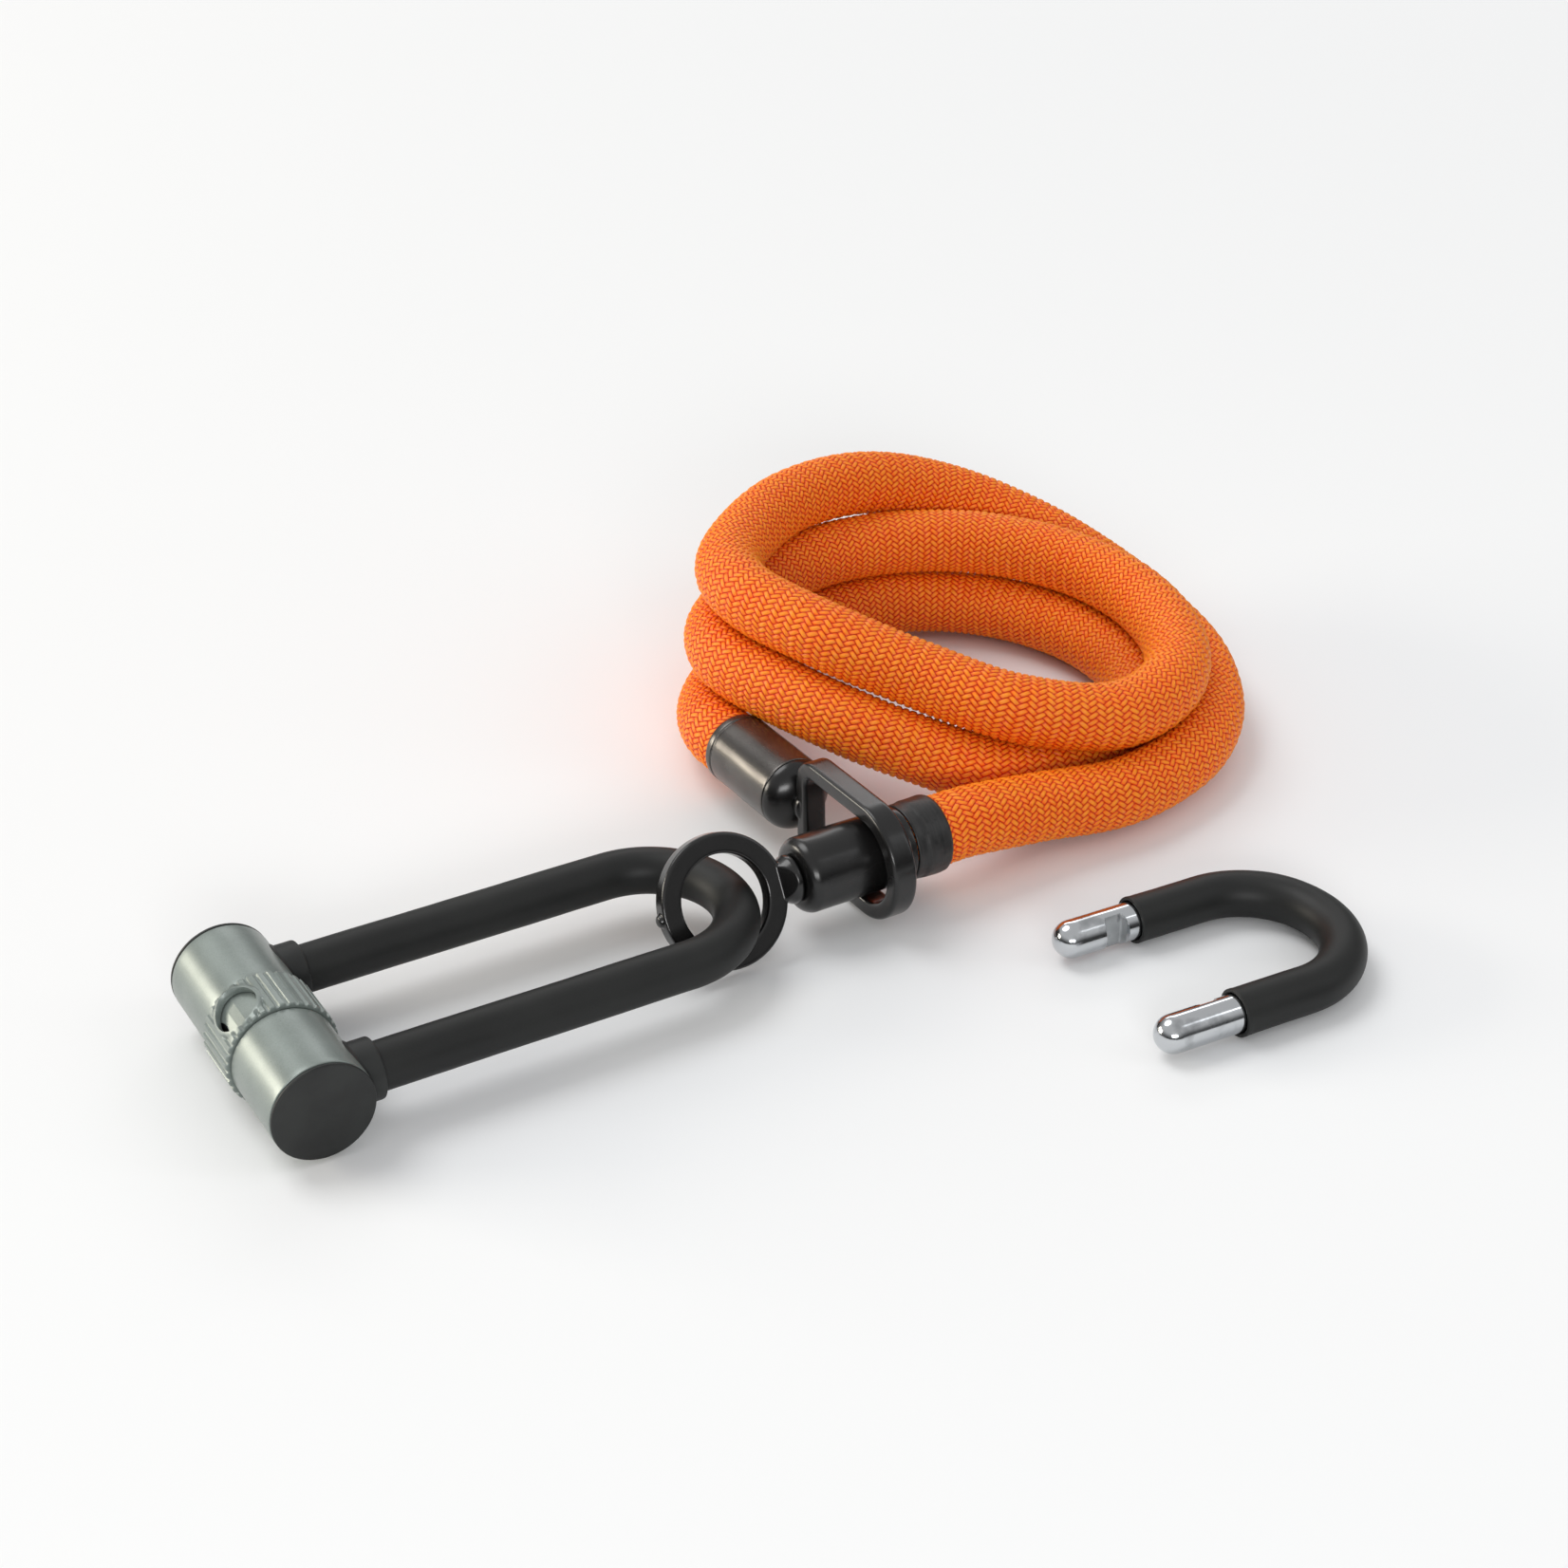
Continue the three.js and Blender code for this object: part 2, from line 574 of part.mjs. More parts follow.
/** One outer shell, for the +X side. */
function bodyCover() {
  const from = COVER_HALF_LENGTH + CLEAR;
  const to = BODY_HALF_LENGTH - CAP_FLANGE - CLEAR;
  const bore = BODY_RADIUS - BODY_WALL;
  const shell = turnedTube(
    [[from, bore], [to, bore]],
    [[from, BODY_RADIUS - 0.3], [from + 0.3, BODY_RADIUS], [to, BODY_RADIUS]],
    32,
  );
  const bushHole = alongY(rod(BUSH_RADIUS + CLEAR, 0, BUSH_TOP, 24)).translate(LEG_SPACING / 2, 0, 0);
  return cut(shell, bushHole);
}

/** One end cap, for the +X side: a flange and the plug that seats in the shell. */
function endCap() {
  const core = CORE_HALF_LENGTH + CLEAR;
  const flange = BODY_HALF_LENGTH - CAP_FLANGE;
  const plug = BODY_RADIUS - BODY_WALL - 2 * CLEAR;
  return turned([
    [core, 0], [core, plug], [flange, plug], [flange, BODY_RADIUS],
    [BODY_HALF_LENGTH - 0.5, BODY_RADIUS], [BODY_HALF_LENGTH, BODY_RADIUS - 0.5], [BODY_HALF_LENGTH, 0],
  ], 32);
}

/** The collar round one leg, seated on the crossbar. */
function shackleBush() {
  const step = SLEEVE_MOUTH - CLEAR;
  const leg = STEEL_RADIUS + LEG_GAP;
  const sleeve = SLEEVE_RADIUS + CLEAR;
  const blank = turnedTube(
    [[0, leg], [step, leg], [step, sleeve], [BUSH_TOP, sleeve]],
    [[0, BUSH_RADIUS], [BUSH_TOP - 1, BUSH_RADIUS], [BUSH_TOP, BUSH_RADIUS - 1]],
  );
  const half = LEG_SPACING / 2;
  const crossbar = rod(BODY_RADIUS - BODY_WALL, -half, half, 32);
  return cut(alongY(blank), crossbar).translate(half, 0, 0);
}

/** The ribbed ring that turns over the keyhole, with its round window. */
function keyholeCover() {
  const outline = new THREE.Shape();
  const marks = 4;
  for (let mark = 0; mark < COVER_RIBS * marks; mark += 1) {
    const angle = (2 * Math.PI * (mark + 0.5)) / (COVER_RIBS * marks);
    const radius = mark % marks < 2 ? COVER_RADIUS : COVER_RADIUS - COVER_GROOVE;
    const place = [radius * Math.cos(angle), radius * Math.sin(angle)];
    if (mark === 0) {
      outline.moveTo(...place);
    } else {
      outline.lineTo(...place);
    }
  }
  outline.closePath();
  outline.holes.push(circle(COLLAR_RADIUS + CLEAR));
  const ring = plate(outline, 2 * COVER_HALF_LENGTH, 0, 16).rotateY(Math.PI / 2);
  const window = alongY(rod(WINDOW_RADIUS, -COVER_RADIUS - OVERCUT, 0, 24)).rotateX(-radians(WINDOW_ANGLE));
  return cut(ring, window);
}

/** The ball that clicks the keyhole cover open and shut. */
function detentBall() {
  return new THREE.SphereGeometry(DETENT_RADIUS, 10, 6).translate(DETENT_STATION, 0, DETENT_TOP - DETENT_RADIUS);
}

/** The coil spring under the ball. */
function detentSpring() {
  const low = DETENT_FLOOR + CLEAR + SPRING_WIRE;
  const high = DETENT_TOP - 2 * DETENT_RADIUS - CLEAR - SPRING_WIRE;
  const path = new Helix(DETENT_RADIUS - SPRING_WIRE, high - low, SPRING_TURNS);
  return tubeAlong(path, SPRING_WIRE, 0, 10 * SPRING_TURNS, 6).translate(DETENT_STATION, 0, low);
}

// ---------------------------------------------------------------- lock cylinder
/** A D-shaped keyway tool along Y. */
function keywayTool(radius) {
  const top = block([-radius - 1, -50, KEYWAY_FLAT], [radius + 1, 50, radius + 1]);
  return cut(alongY(rod(radius, -20, 20, 16)), top);
}

const PLUG_FRONT = HOUSING_FRONT + CLEAR;
const PLUG_BACK = HOUSING_BACK - 1.6;
const CAVITY_FRONT = PLUG_FRONT + PLUG_FACE;
const GUARD_FRONT = CAVITY_FRONT + CLEAR;
const DISCS_FRONT = GUARD_FRONT + GUARD_THICKNESS + CLEAR;
const DISCS_BACK = DISCS_FRONT + DISC_COUNT * DISC_PITCH;
const DISC_RADIUS = PLUG_RADIUS - PLUG_WALL - CLEAR;

function cylinderHousing() {
  const shell = turnedTube(
    [[HOUSING_FRONT, PLUG_RADIUS + CLEAR], [HOUSING_BACK, PLUG_RADIUS + CLEAR]],
    [[HOUSING_FRONT, HOUSING_RADIUS], [HOUSING_BACK, HOUSING_RADIUS]],
  );
  const pinGroove = rod(PIN_RADIUS + CLEAR, -HOUSING_RADIUS, HOUSING_RADIUS, 12).translate(0, ...PIN_PLACE);
  return cut(alongY(shell), pinGroove);
}

function cylinderPlug() {
  const bore = PLUG_RADIUS - PLUG_WALL;
  const shell = alongY(turned([
    [PLUG_FRONT, 0], [PLUG_FRONT, PLUG_RADIUS], [PLUG_BACK, PLUG_RADIUS], [PLUG_BACK, bore],
    [CAVITY_FRONT, bore], [CAVITY_FRONT, 0],
  ], 24));
  const half = SIDEBAR_WIDTH / 2 + CLEAR;
  const slot = block([-half, DISCS_FRONT - CLEAR, bore - OVERCUT], [half, DISCS_BACK, PLUG_RADIUS + OVERCUT]);
  return cut(shell, keywayTool(KEYWAY_RADIUS), slot);
}

/** A rotating disc with its keyway and the rim notch that takes the sidebar. */
function detainerDisc(index) {
  const from = DISCS_FRONT + index * DISC_PITCH;
  const disc = alongY(rod(DISC_RADIUS, from, from + DISC_THICKNESS, 16));
  const half = SIDEBAR_WIDTH / 2 + CLEAR;
  const notch = block([-half, from - OVERCUT, DISC_RADIUS - 0.7], [half, from + OVERCUT + DISC_PITCH, PLUG_RADIUS]);
  return cut(disc, keywayTool(KEYWAY_RADIUS), notch);
}

/** The hardened plate behind the plug's face. */
function drillGuard() {
  const disc = alongY(rod(DISC_RADIUS, GUARD_FRONT, GUARD_FRONT + GUARD_THICKNESS, 24));
  return cut(disc, keywayTool(KEYWAY_RADIUS));
}

/** The bar that frees the plug when it drops into the discs' notches. */
function sidebar() {
  const half = SIDEBAR_WIDTH / 2;
  const floor = DISC_RADIUS - 0.7 + CLEAR;
  return block([-half, DISCS_FRONT, floor], [half, DISCS_BACK - 2 * CLEAR, PLUG_RADIUS - 0.2]);
}

/** The oval cam on the plug's tail that pushes both bolts outwards. */
function boltCam() {
  const camFront = CAM_BACK - CAM_THICKNESS;
  const hub = alongY(rod(DISC_RADIUS, DISCS_BACK, camFront + OVERCUT, 24));
  const outline = new THREE.Shape().absellipse(0, 0, CAM_HALF_SHORT, CAM_HALF_LONG, 0, 2 * Math.PI, false, 0);
  const oval = plate(outline, CAM_THICKNESS, 0, 16).rotateX(Math.PI / 2).translate(0, NOTCH_CENTRE, 0);
  return join(hub, oval);
}

/** One bolt in the +X channel, drawn back against the cam. */
function bolt() {
  const from = CAM_HALF_SHORT + 0.8;
  const to = LEG_SPACING / 2 - STEEL_RADIUS - LEG_GAP - 0.5;
  const nose = BOLT_RADIUS - 0.6;
  const blank = turned([[from, 0], [from, BOLT_RADIUS], [to - 0.6, BOLT_RADIUS], [to, nose], [to, 0]], 20);
  return blank.translate(0, NOTCH_CENTRE, 0);
}

function buildCylinder() {
  const discs = [];
  for (let index = 0; index < DISC_COUNT; index += 1) {
    discs.push(piece(`detainer_disc_${index + 1}`, detainerDisc(index), BRASS));
  }
  const pin = rod(PIN_RADIUS, -HOUSING_RADIUS - 2, LEG_SPACING / 2 - STEEL_RADIUS - LEG_GAP - 0.5, 12);
  return assembly(
    piece('cylinder_housing', cylinderHousing(), DARK_STEEL),
    piece('cylinder_retaining_pin', pin.translate(0, ...PIN_PLACE), BARE_STEEL),
    piece('cylinder_plug', cylinderPlug(), BRASS),
    piece('anti_drill_disc', drillGuard(), DARK_STEEL),
    ...discs,
    piece('sidebar', sidebar(), BARE_STEEL),
    piece('bolt_cam', boltCam(), DARK_STEEL),
  );
}

/** The same piece on the -X side. */
const otherSide = (geometry) => geometry.rotateX(Math.PI).rotateZ(Math.PI);

function buildLock() {
  return assembly(
    piece('body_core', bodyCore(), DARK_STEEL),
    piece('body_cover_right', bodyCover(), SHELL_GREY),
    piece('body_cover_left', otherSide(bodyCover()), SHELL_GREY),
    piece('end_cap_right', endCap(), CAP_BLACK),
    piece('end_cap_left', otherSide(endCap()), CAP_BLACK),
    piece('shackle_bush_right', shackleBush(), CAP_BLACK),
    piece('shackle_bush_left', otherSide(shackleBush()), CAP_BLACK),
    piece('keyhole_cover', keyholeCover(), SHELL_GREY),
    piece('cover_detent_ball', detentBall(), BARE_STEEL),
    piece('cover_detent_spring', detentSpring(), BARE_STEEL),
    piece('bolt_right', bolt(), BARE_STEEL),
    piece('bolt_left', otherSide(bolt()), BARE_STEEL),
    buildCylinder(),
    buildShackle('long_shackle', LONG_REACH),
  );
}

/** Lays a flat assembly on the floor at a place and turn. */
function lay(group, place, height, turn) {
  group.position.set(...place, height);
  group.rotation.z = radians(turn);
  return group;
}

// ---------------------------------------------------------------- whole object
/** Moves everything so that the box round the hard pieces stands on the origin. */
function centre(everything, hardPieces) {
  everything.updateMatrixWorld(true);
  const box = new THREE.Box3();
  hardPieces.forEach((group) => box.expandByObject(group, true));
  const middle = box.getCenter(new THREE.Vector3());
  everything.position.set(-middle.x, -middle.y, -box.min.z);
}

/** Where the lock's axis lies, so that its long bend passes through the ring. */
function lockPlace() {
  const half = LEG_SPACING / 2;
  const bend = radians(BEND_ANGLE);
  const reach = new THREE.Vector3(half * Math.sin(bend), LONG_REACH + half * Math.cos(bend), 0);
  reach.applyAxisAngle(new THREE.Vector3(0, 0, 1), radians(LOCK_TURN));
  return [BEND_PLACE[0] - reach.x, BEND_PLACE[1] - reach.y];
}

function buildObject() {
  const ringEnd = buildRingEnd();
  const deeEnd = buildDeeEnd();
  const lock = lay(buildLock(), lockPlace(), COVER_RADIUS, LOCK_TURN);
  const spare = lay(buildShackle('spare_shackle', SPARE_REACH), SPARE_PLACE, SLEEVE_RADIUS, SPARE_TURN);
  const everything = assembly(ringEnd, deeEnd, lock, spare);
  const rope = buildRope(ringEnd, deeEnd);
  centre(everything, [ringEnd, deeEnd, lock, spare]);
  everything.add(rope);
  return assembly(everything);
}

export default buildObject();
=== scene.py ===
"""Looks for the rope noose lock.

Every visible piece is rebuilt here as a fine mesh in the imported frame: the braided
rope, its two end fittings, the small shackle lock and the spare shackle. The pieces
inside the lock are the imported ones, dressed with procedural finishes.
"""

import logging
import math
from dataclasses import dataclass, field
from enum import Enum

import bmesh
import bpy
import numpy as np
from mathutils import Matrix, Vector


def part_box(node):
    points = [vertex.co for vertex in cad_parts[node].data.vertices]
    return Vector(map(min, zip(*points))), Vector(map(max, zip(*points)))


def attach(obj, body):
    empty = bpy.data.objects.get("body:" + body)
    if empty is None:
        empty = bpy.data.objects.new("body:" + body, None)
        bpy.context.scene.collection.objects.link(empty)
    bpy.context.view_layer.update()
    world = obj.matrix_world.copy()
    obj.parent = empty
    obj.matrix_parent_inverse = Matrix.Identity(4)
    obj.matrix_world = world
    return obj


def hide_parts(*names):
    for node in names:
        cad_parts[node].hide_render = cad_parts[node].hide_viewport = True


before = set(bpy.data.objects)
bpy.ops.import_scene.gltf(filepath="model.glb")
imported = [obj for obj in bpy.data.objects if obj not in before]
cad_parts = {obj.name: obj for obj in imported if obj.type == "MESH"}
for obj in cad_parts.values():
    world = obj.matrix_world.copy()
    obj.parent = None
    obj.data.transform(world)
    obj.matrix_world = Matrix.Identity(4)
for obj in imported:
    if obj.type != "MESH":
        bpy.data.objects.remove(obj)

LOG = logging.getLogger("noose_lock")
MM = 0.001
TAU = 2 * math.pi


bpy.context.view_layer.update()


# ---------------------------------------------------------------- sizes shared by the pieces
@dataclass(frozen=True)
class Sizes:
    """The driving sizes of the part, in millimetres."""

    clear: float = 0.3
    rope_radius: float = 12.25
    rope_seat: float = 4
    ferrule_radius: float = 13.25
    ring_radius: float = 23
    ring_hole: float = 15.9
    ring_thickness: float = 6
    ring_lean: float = 30
    neck_radius: float = 8.5
    dee_half_width: float = 21
    dee_bar: float = 6
    dee_depth: float = 9
    dee_shank: float = 5
    steel_radius: float = 6.5
    sleeve_radius: float = 8
    leg_spacing: float = 60
    long_reach: float = 131
    spare_reach: float = 45.5
    tip_depth: float = 12.5
    sleeve_mouth: float = 17.5
    notch_centre: float = 8.5
    notch_length: float = 9
    notch_depth: float = 3.9
    body_radius: float = 17
    body_half: float = 43.4
    body_wall: float = 1.9
    core_half: float = 39
    collar_radius: float = 16.2
    cap_flange: float = 1.2
    bush_radius: float = 10.25
    bush_top: float = 22
    cover_radius: float = 18.5
    cover_half: float = 10
    cover_ribs: int = 36
    cover_groove: float = 0.5
    window_radius: float = 8
    window_angle: float = 55
    loop_centre: tuple[float, float, float] = (28.5, -82, 22.4)
    ring_turn: float = 211
    dee_turn: float = -59
    dee_rise: float = 2
    ring_station: float = 57
    nose_station: float = 29.5
    ring_mouth: float = -12
    shrink_end: float = -26
    dee_bow: float = 3
    dee_bar_station: float = -40
    dome_tip: float = -41
    dome_base: float = -48.7
    dee_mouth: float = -88.5
    lock_place: tuple[float, float] = (-159, -182)
    lock_turn: float = -60
    spare_place: tuple[float, float] = (114.7, -136)
    spare_turn: float = -62.3


SIZES = Sizes()

# The rope's free route between the two mouths, in metres, as in the part's source.
ROPE_ROUTE = (
    (0.089, -0.045, 0.018), (0.121, -0.028, 0.014), (0.1476, -0.0005, 0.0135), (0.1591, 0.0294, 0.0143),
    (0.1576, 0.0649, 0.0168), (0.1444, 0.0973, 0.0195), (0.1237, 0.1248, 0.0257), (0.0948, 0.1425, 0.0361),
    (0.0624, 0.1456, 0.0481), (0.0311, 0.1332, 0.0584), (0.0036, 0.1102, 0.0621),
    (-0.0141, 0.0789, 0.0628), (-0.0206, 0.0476, 0.0636), (-0.0124, 0.0237, 0.0646),
    (0.0122, 0.003, 0.0613), (0.0477, -0.0088, 0.0509), (0.0836, -0.0193, 0.0428),
    (0.1185, -0.0121, 0.036), (0.1401, 0.0114, 0.0352), (0.1455, 0.0427, 0.0355), (0.1335, 0.0805, 0.0365),
    (0.1091, 0.1078, 0.0372), (0.0769, 0.1213, 0.0379), (0.0421, 0.1202, 0.0386), (0.0122, 0.1075, 0.0383),
    (-0.0125, 0.0797, 0.0379), (-0.0246, 0.0471, 0.0389), (-0.0208, 0.021, 0.041),
    (-0.0048, 0.0018, 0.0402), (0.018, -0.0126, 0.0359), (0.0417, -0.0197, 0.029),
    (0.0755, -0.0215, 0.0188), (0.111, -0.0039, 0.0132), (0.1317, 0.0234, 0.0133),
    (0.1319, 0.0615, 0.0129), (0.1111, 0.0962, 0.0132), (0.077, 0.1162, 0.0133), (0.0381, 0.116, 0.0138),
    (0.0051, 0.0978, 0.0133), (-0.018, 0.065, 0.013), (-0.0275, 0.03, 0.015),
)


class Places:
    """Where each group of pieces stands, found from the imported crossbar."""

    def __init__(self, sizes: Sizes) -> None:
        """Works out the placements.

        Args:
            sizes: The driving sizes.
        """
        low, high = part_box("body_core")
        middle = (low + high) / 2 / MM
        self.shift = Vector((middle.x - sizes.lock_place[0], middle.y - sizes.lock_place[1], 0))
        centre = Vector(sizes.loop_centre) + self.shift
        self.ring_end = Matrix.Translation(centre) @ _turn(sizes.ring_turn, "Z")
        self.dee_end = Matrix.Translation(centre) @ _turn(sizes.dee_turn, "Z") @ _turn(-sizes.dee_rise, "Y")
        self.lock = Matrix.Translation(middle) @ _turn(sizes.lock_turn, "Z")
        spare = Vector((*sizes.spare_place, sizes.sleeve_radius)) + self.shift
        self.spare = Matrix.Translation(spare) @ _turn(sizes.spare_turn, "Z")


def _turn(degrees: float, axis: str) -> Matrix:
    """A rotation.

    Args:
        degrees: How far, in degrees.
        axis: X, Y or Z.

    Returns:
        The 4x4 matrix.
    """
    return Matrix.Rotation(math.radians(degrees), 4, axis)


# ---------------------------------------------------------------- mesh building
Outline = list[tuple[float, float]]

# The most of an edge that one rounded corner may use.
CORNER_SHARE = 0.48
# How far off the axis a revolved end closes, in millimetres.
PIN = 0.02


@dataclass
class Shape:
    """A mesh being built, in millimetres, in its own frame."""

    points: np.ndarray
    faces: list[tuple[int, ...]]

    def moved(self, matrix: Matrix) -> "Shape":
        """A moved copy.

        Args:
            matrix: The 4x4 move, in millimetres.

        Returns:
            The moved shape.
        """
        m = np.array(matrix)
        return Shape(self.points @ m[:3, :3].T + m[:3, 3], self.faces)

    def joined(self, *others: "Shape") -> "Shape":
        """This shape and others as one mesh, without welding them.

        Args:
            others: The other shapes.

        Returns:
            The joint shape.
        """
        points, faces = [self.points], list(self.faces)
        count = len(self.points)
        for other in others:
            points.append(other.points)
            faces.extend(tuple(index + count for index in face) for face in other.faces)
            count += len(other.points)
        return Shape(np.vstack(points), faces)


def grid(points: np.ndarray, loop: bool = False, caps: bool = False) -> Shape:
    """A skin over rows of points, closed around each row.

    Args:
        points: Rows x columns x 3.
        loop: Joins the last row to the first.
        caps: Closes both ends with one face each.

    Returns:
        The skin.
    """
    rows, columns = points.shape[:2]
    faces: list[tuple[int, ...]] = []
    for row in range(rows if loop else rows - 1):
        here, there = row * columns, ((row + 1) % rows) * columns
        for column in range(columns):
            after = (column + 1) % columns
            faces.append((here + column, here + after, there + after, there + column))
    if caps:
        faces.append(tuple(range(columns - 1, -1, -1)))
        faces.append(tuple(range((rows - 1) * columns, rows * columns)))
    return Shape(points.reshape(-1, 3), faces)


def oblong(wide: float, deep: float) -> Outline:
    """A rectangle round the origin.

    Args:
        wide: Half its width.
        deep: Half its depth.

    Returns:
        Its four corners.
    """
    return [(-wide, -deep), (wide, -deep), (wide, deep), (-wide, deep)]


def rounded(outline: Outline, radius: float, steps: int = 4, loop: bool = False) -> np.ndarray:
    """A polyline with its corners rounded.

    Args:
        outline: The corner points.
        radius: How far from each corner the curve starts, at most.
        steps: Points on each curve beyond the first.
        loop: The polyline is closed, so every corner is rounded.

    Returns:
        The points, as an N x 2 array.
    """
    pts = [np.array(p, float) for p in outline]
    count = len(pts)
    out: list[np.ndarray] = []
    for index, corner in enumerate(pts):
        if not loop and index in (0, count - 1):
            out.append(corner)
            continue
        before, after = pts[index - 1] - corner, pts[(index + 1) % count] - corner
        reach_in = min(radius, CORNER_SHARE * float(np.linalg.norm(before)))
        reach_out = min(radius, CORNER_SHARE * float(np.linalg.norm(after)))
        start = corner + before / np.linalg.norm(before) * reach_in
        end = corner + after / np.linalg.norm(after) * reach_out
        for step in range(steps + 1):
            t = step / steps
            out.append((1 - t) ** 2 * start + 2 * t * (1 - t) * corner + t * t * end)
    return np.array(out)


def split(profile: np.ndarray, longest: float) -> np.ndarray:
    """A polyline with its long edges split.

    Args:
        profile: N x 2 or N x 3 points.
        longest: The longest edge left.

    Returns:
        The points with the new ones between.
    """
    out = [profile[0]]
    for a, b in zip(profile[:-1], profile[1:]):
        parts = max(1, math.ceil(float(np.linalg.norm(b - a)) / longest))
        out.extend(a + (b - a) * (part / parts) for part in range(1, parts + 1))
    return np.array(out)


def revolve(profile: np.ndarray, sides: int, loop: bool = False) -> Shape:
    """A body of revolution about X.

    Args:
        profile: Station and radius pairs, in millimetres.
        sides: Points around.
        loop: The profile is a closed outline that stays off the axis.

    Returns:
        The body, with its ends closed.
    """
    angles = np.arange(sides) * TAU / sides
    points = np.empty((len(profile), sides, 3))
    points[..., 0] = profile[:, :1]
    points[..., 1] = profile[:, 1:] * np.cos(angles)
    points[..., 2] = profile[:, 1:] * np.sin(angles)
    return grid(points, loop=loop, caps=not loop)


def turned(outline: Outline, radius: float, longest: float, sides: int, steps: int = 4) -> Shape:
    """A closed outline with rounded corners, revolved about X.

    Args:
        outline: Station and radius pairs, in millimetres.
        radius: How far from each corner the rounding starts.
        longest: The longest edge left along the outline.
        sides: Points around.
        steps: Points on each rounded corner beyond the first.

    Returns:
        The body.
    """
    return revolve(split(rounded(outline, radius, steps, loop=True), longest), sides, loop=True)


def sweep(path: np.ndarray, section: np.ndarray, outward: np.ndarray, up: np.ndarray, loop: bool) -> Shape:
    """A section carried along a flat path.

    Args:
        path: N x 3 points.
        section: M x 2 pairs, along outward and up.
        outward: N x 3 unit vectors.
        up: One unit vector, square to the path.
        loop: The path is closed.

    Returns:
        The swept body.
    """
    points = path[:, None] + section[None, :, :1] * outward[:, None] + section[None, :, 1:] * up
    return grid(points, loop=loop, caps=not loop)


def ripple(points: np.ndarray, wave: float, seed: float = 0.0) -> np.ndarray:
    """A smooth random-looking field from -1 to 1.

    Args:
        points: N x 3 places.
        wave: Its length, in the same unit.
        seed: Shifts the pattern.

    Returns:
        One value per point.
    """
    total = np.zeros(len(points))
    for turn in range(1, 5):
        angle = 2.4 * turn + seed
        way = np.array([math.cos(angle), math.sin(angle * 1.7), math.sin(angle)])
        total += np.sin(points @ way * TAU / wave * (0.7 + 0.23 * turn) + 1.9 * turn * (1 + seed))
    return total / 4


def swollen(shape: Shape, amount: float, wave: float, seed: float = 0.0) -> Shape:
    """A shape whose points are pushed in and out a little from its middle line.

    Args:
        shape: The shape, made about X.
        amount: The largest push, in millimetres.
        wave: The length of the bumps, in millimetres.
        seed: Shifts the pattern.

    Returns:
        The new shape.
    """
    points = shape.points.copy()
    reach = np.linalg.norm(points[:, 1:], axis=1)
    push = 1 + amount * ripple(points, wave, seed) / np.maximum(reach, 1)
    points[:, 1:] *= push[:, None]
    return Shape(points, shape.faces)


def to_mesh(name: str, shape: Shape, tidy: bool = True) -> bpy.types.Mesh:
    """A smooth-shaded Blender mesh in metres.

    Args:
        name: The mesh's name.
        shape: The shape, in millimetres.
        tidy: Makes the faces all point outwards.

    Returns:
        The mesh.
    """
    mesh = bpy.data.meshes.new(name)
    mesh.from_pydata((shape.points * MM).tolist(), [], shape.faces)
    if tidy:
        work = bmesh.new()
        work.from_mesh(mesh)
        bmesh.ops.recalc_face_normals(work, faces=work.faces)
        work.to_mesh(mesh)
        work.free()
    mesh.polygons.foreach_set("use_smooth", [True] * len(mesh.polygons))
    mesh.update()
    return mesh


def added(name: str, data: bpy.types.ID) -> bpy.types.Object:
    """A new object, linked to the scene.

    Args:
        name: The object's name.
        data: Its mesh, lamp or camera.

    Returns:
        The object.
    """
    obj = bpy.data.objects.new(name, data)
    bpy.context.scene.collection.objects.link(obj)
    return obj


def carved(shape: Shape, *tools: Shape) -> Shape:
    """A closed shape with others cut out of it.

    Args:
        shape: The closed shape.
        tools: The closed shapes to take away.

    Returns:
        What is left.
    """
    made = [added("carve", to_mesh("carve", each)) for each in (shape, *tools)]
    for tool in made[1:]:
        cut = made[0].modifiers.new("cut", "BOOLEAN")
        cut.operation = "DIFFERENCE"
        cut.solver = "EXACT"
        cut.object = tool
    graph = bpy.context.evaluated_depsgraph_get()
    result = bpy.data.meshes.new_from_object(made[0].evaluated_get(graph), depsgraph=graph)
    points = np.array([vertex.co for vertex in result.vertices]) / MM
    faces = [tuple(polygon.vertices) for polygon in result.polygons]
    for obj in made:
        bpy.data.objects.remove(obj)
    return Shape(points, faces)


def placed(
    name: str,
    shape: Shape,
    place: Matrix,
    body: str,
    finish: "Finish",
    stands_for: tuple[str, ...],
    crease: float | None = 38.0,
) -> bpy.types.Object:
    """Puts a shape in the scene as one named piece.

    Args:
        name: The piece's name.
        shape: The shape, in millimetres, in its own frame.
        place: Where that frame stands, in millimetres.
        body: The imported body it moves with.
        finish: How it looks.
        stands_for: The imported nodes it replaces.
        crease: Edges sharper than this stay sharp, in degrees, or None.

    Returns:
        The new object.
    """
    mesh = to_mesh(name, shape)
    if crease is not None:
        mesh.set_sharp_from_angle(angle=math.radians(crease))
    obj = added(name, mesh)
    stand = place.copy()
    stand.translation = stand.translation * MM
    obj.matrix_world = stand
    mesh.materials.append(finish.material())
    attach(obj, body)
    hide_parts(*stands_for)
    LOG.info("built %s, %d faces", name, len(mesh.polygons))
    return obj


def forge(obj: bpy.types.Object, voxel: float, passes: int) -> None:
    """Melts overlapping parts of a piece into one, as a forging.

    Args:
        obj: The piece.
        voxel: The size of the new mesh's cells, in millimetres.
        passes: How many times it is smoothed.
    """
    melt = obj.modifiers.new("melt", "REMESH")
    melt.mode = "VOXEL"
    melt.voxel_size = voxel * MM
    melt.use_smooth_shade = True
    calm = obj.modifiers.new("calm", "SMOOTH")
    calm.factor = 0.5
    calm.iterations = passes


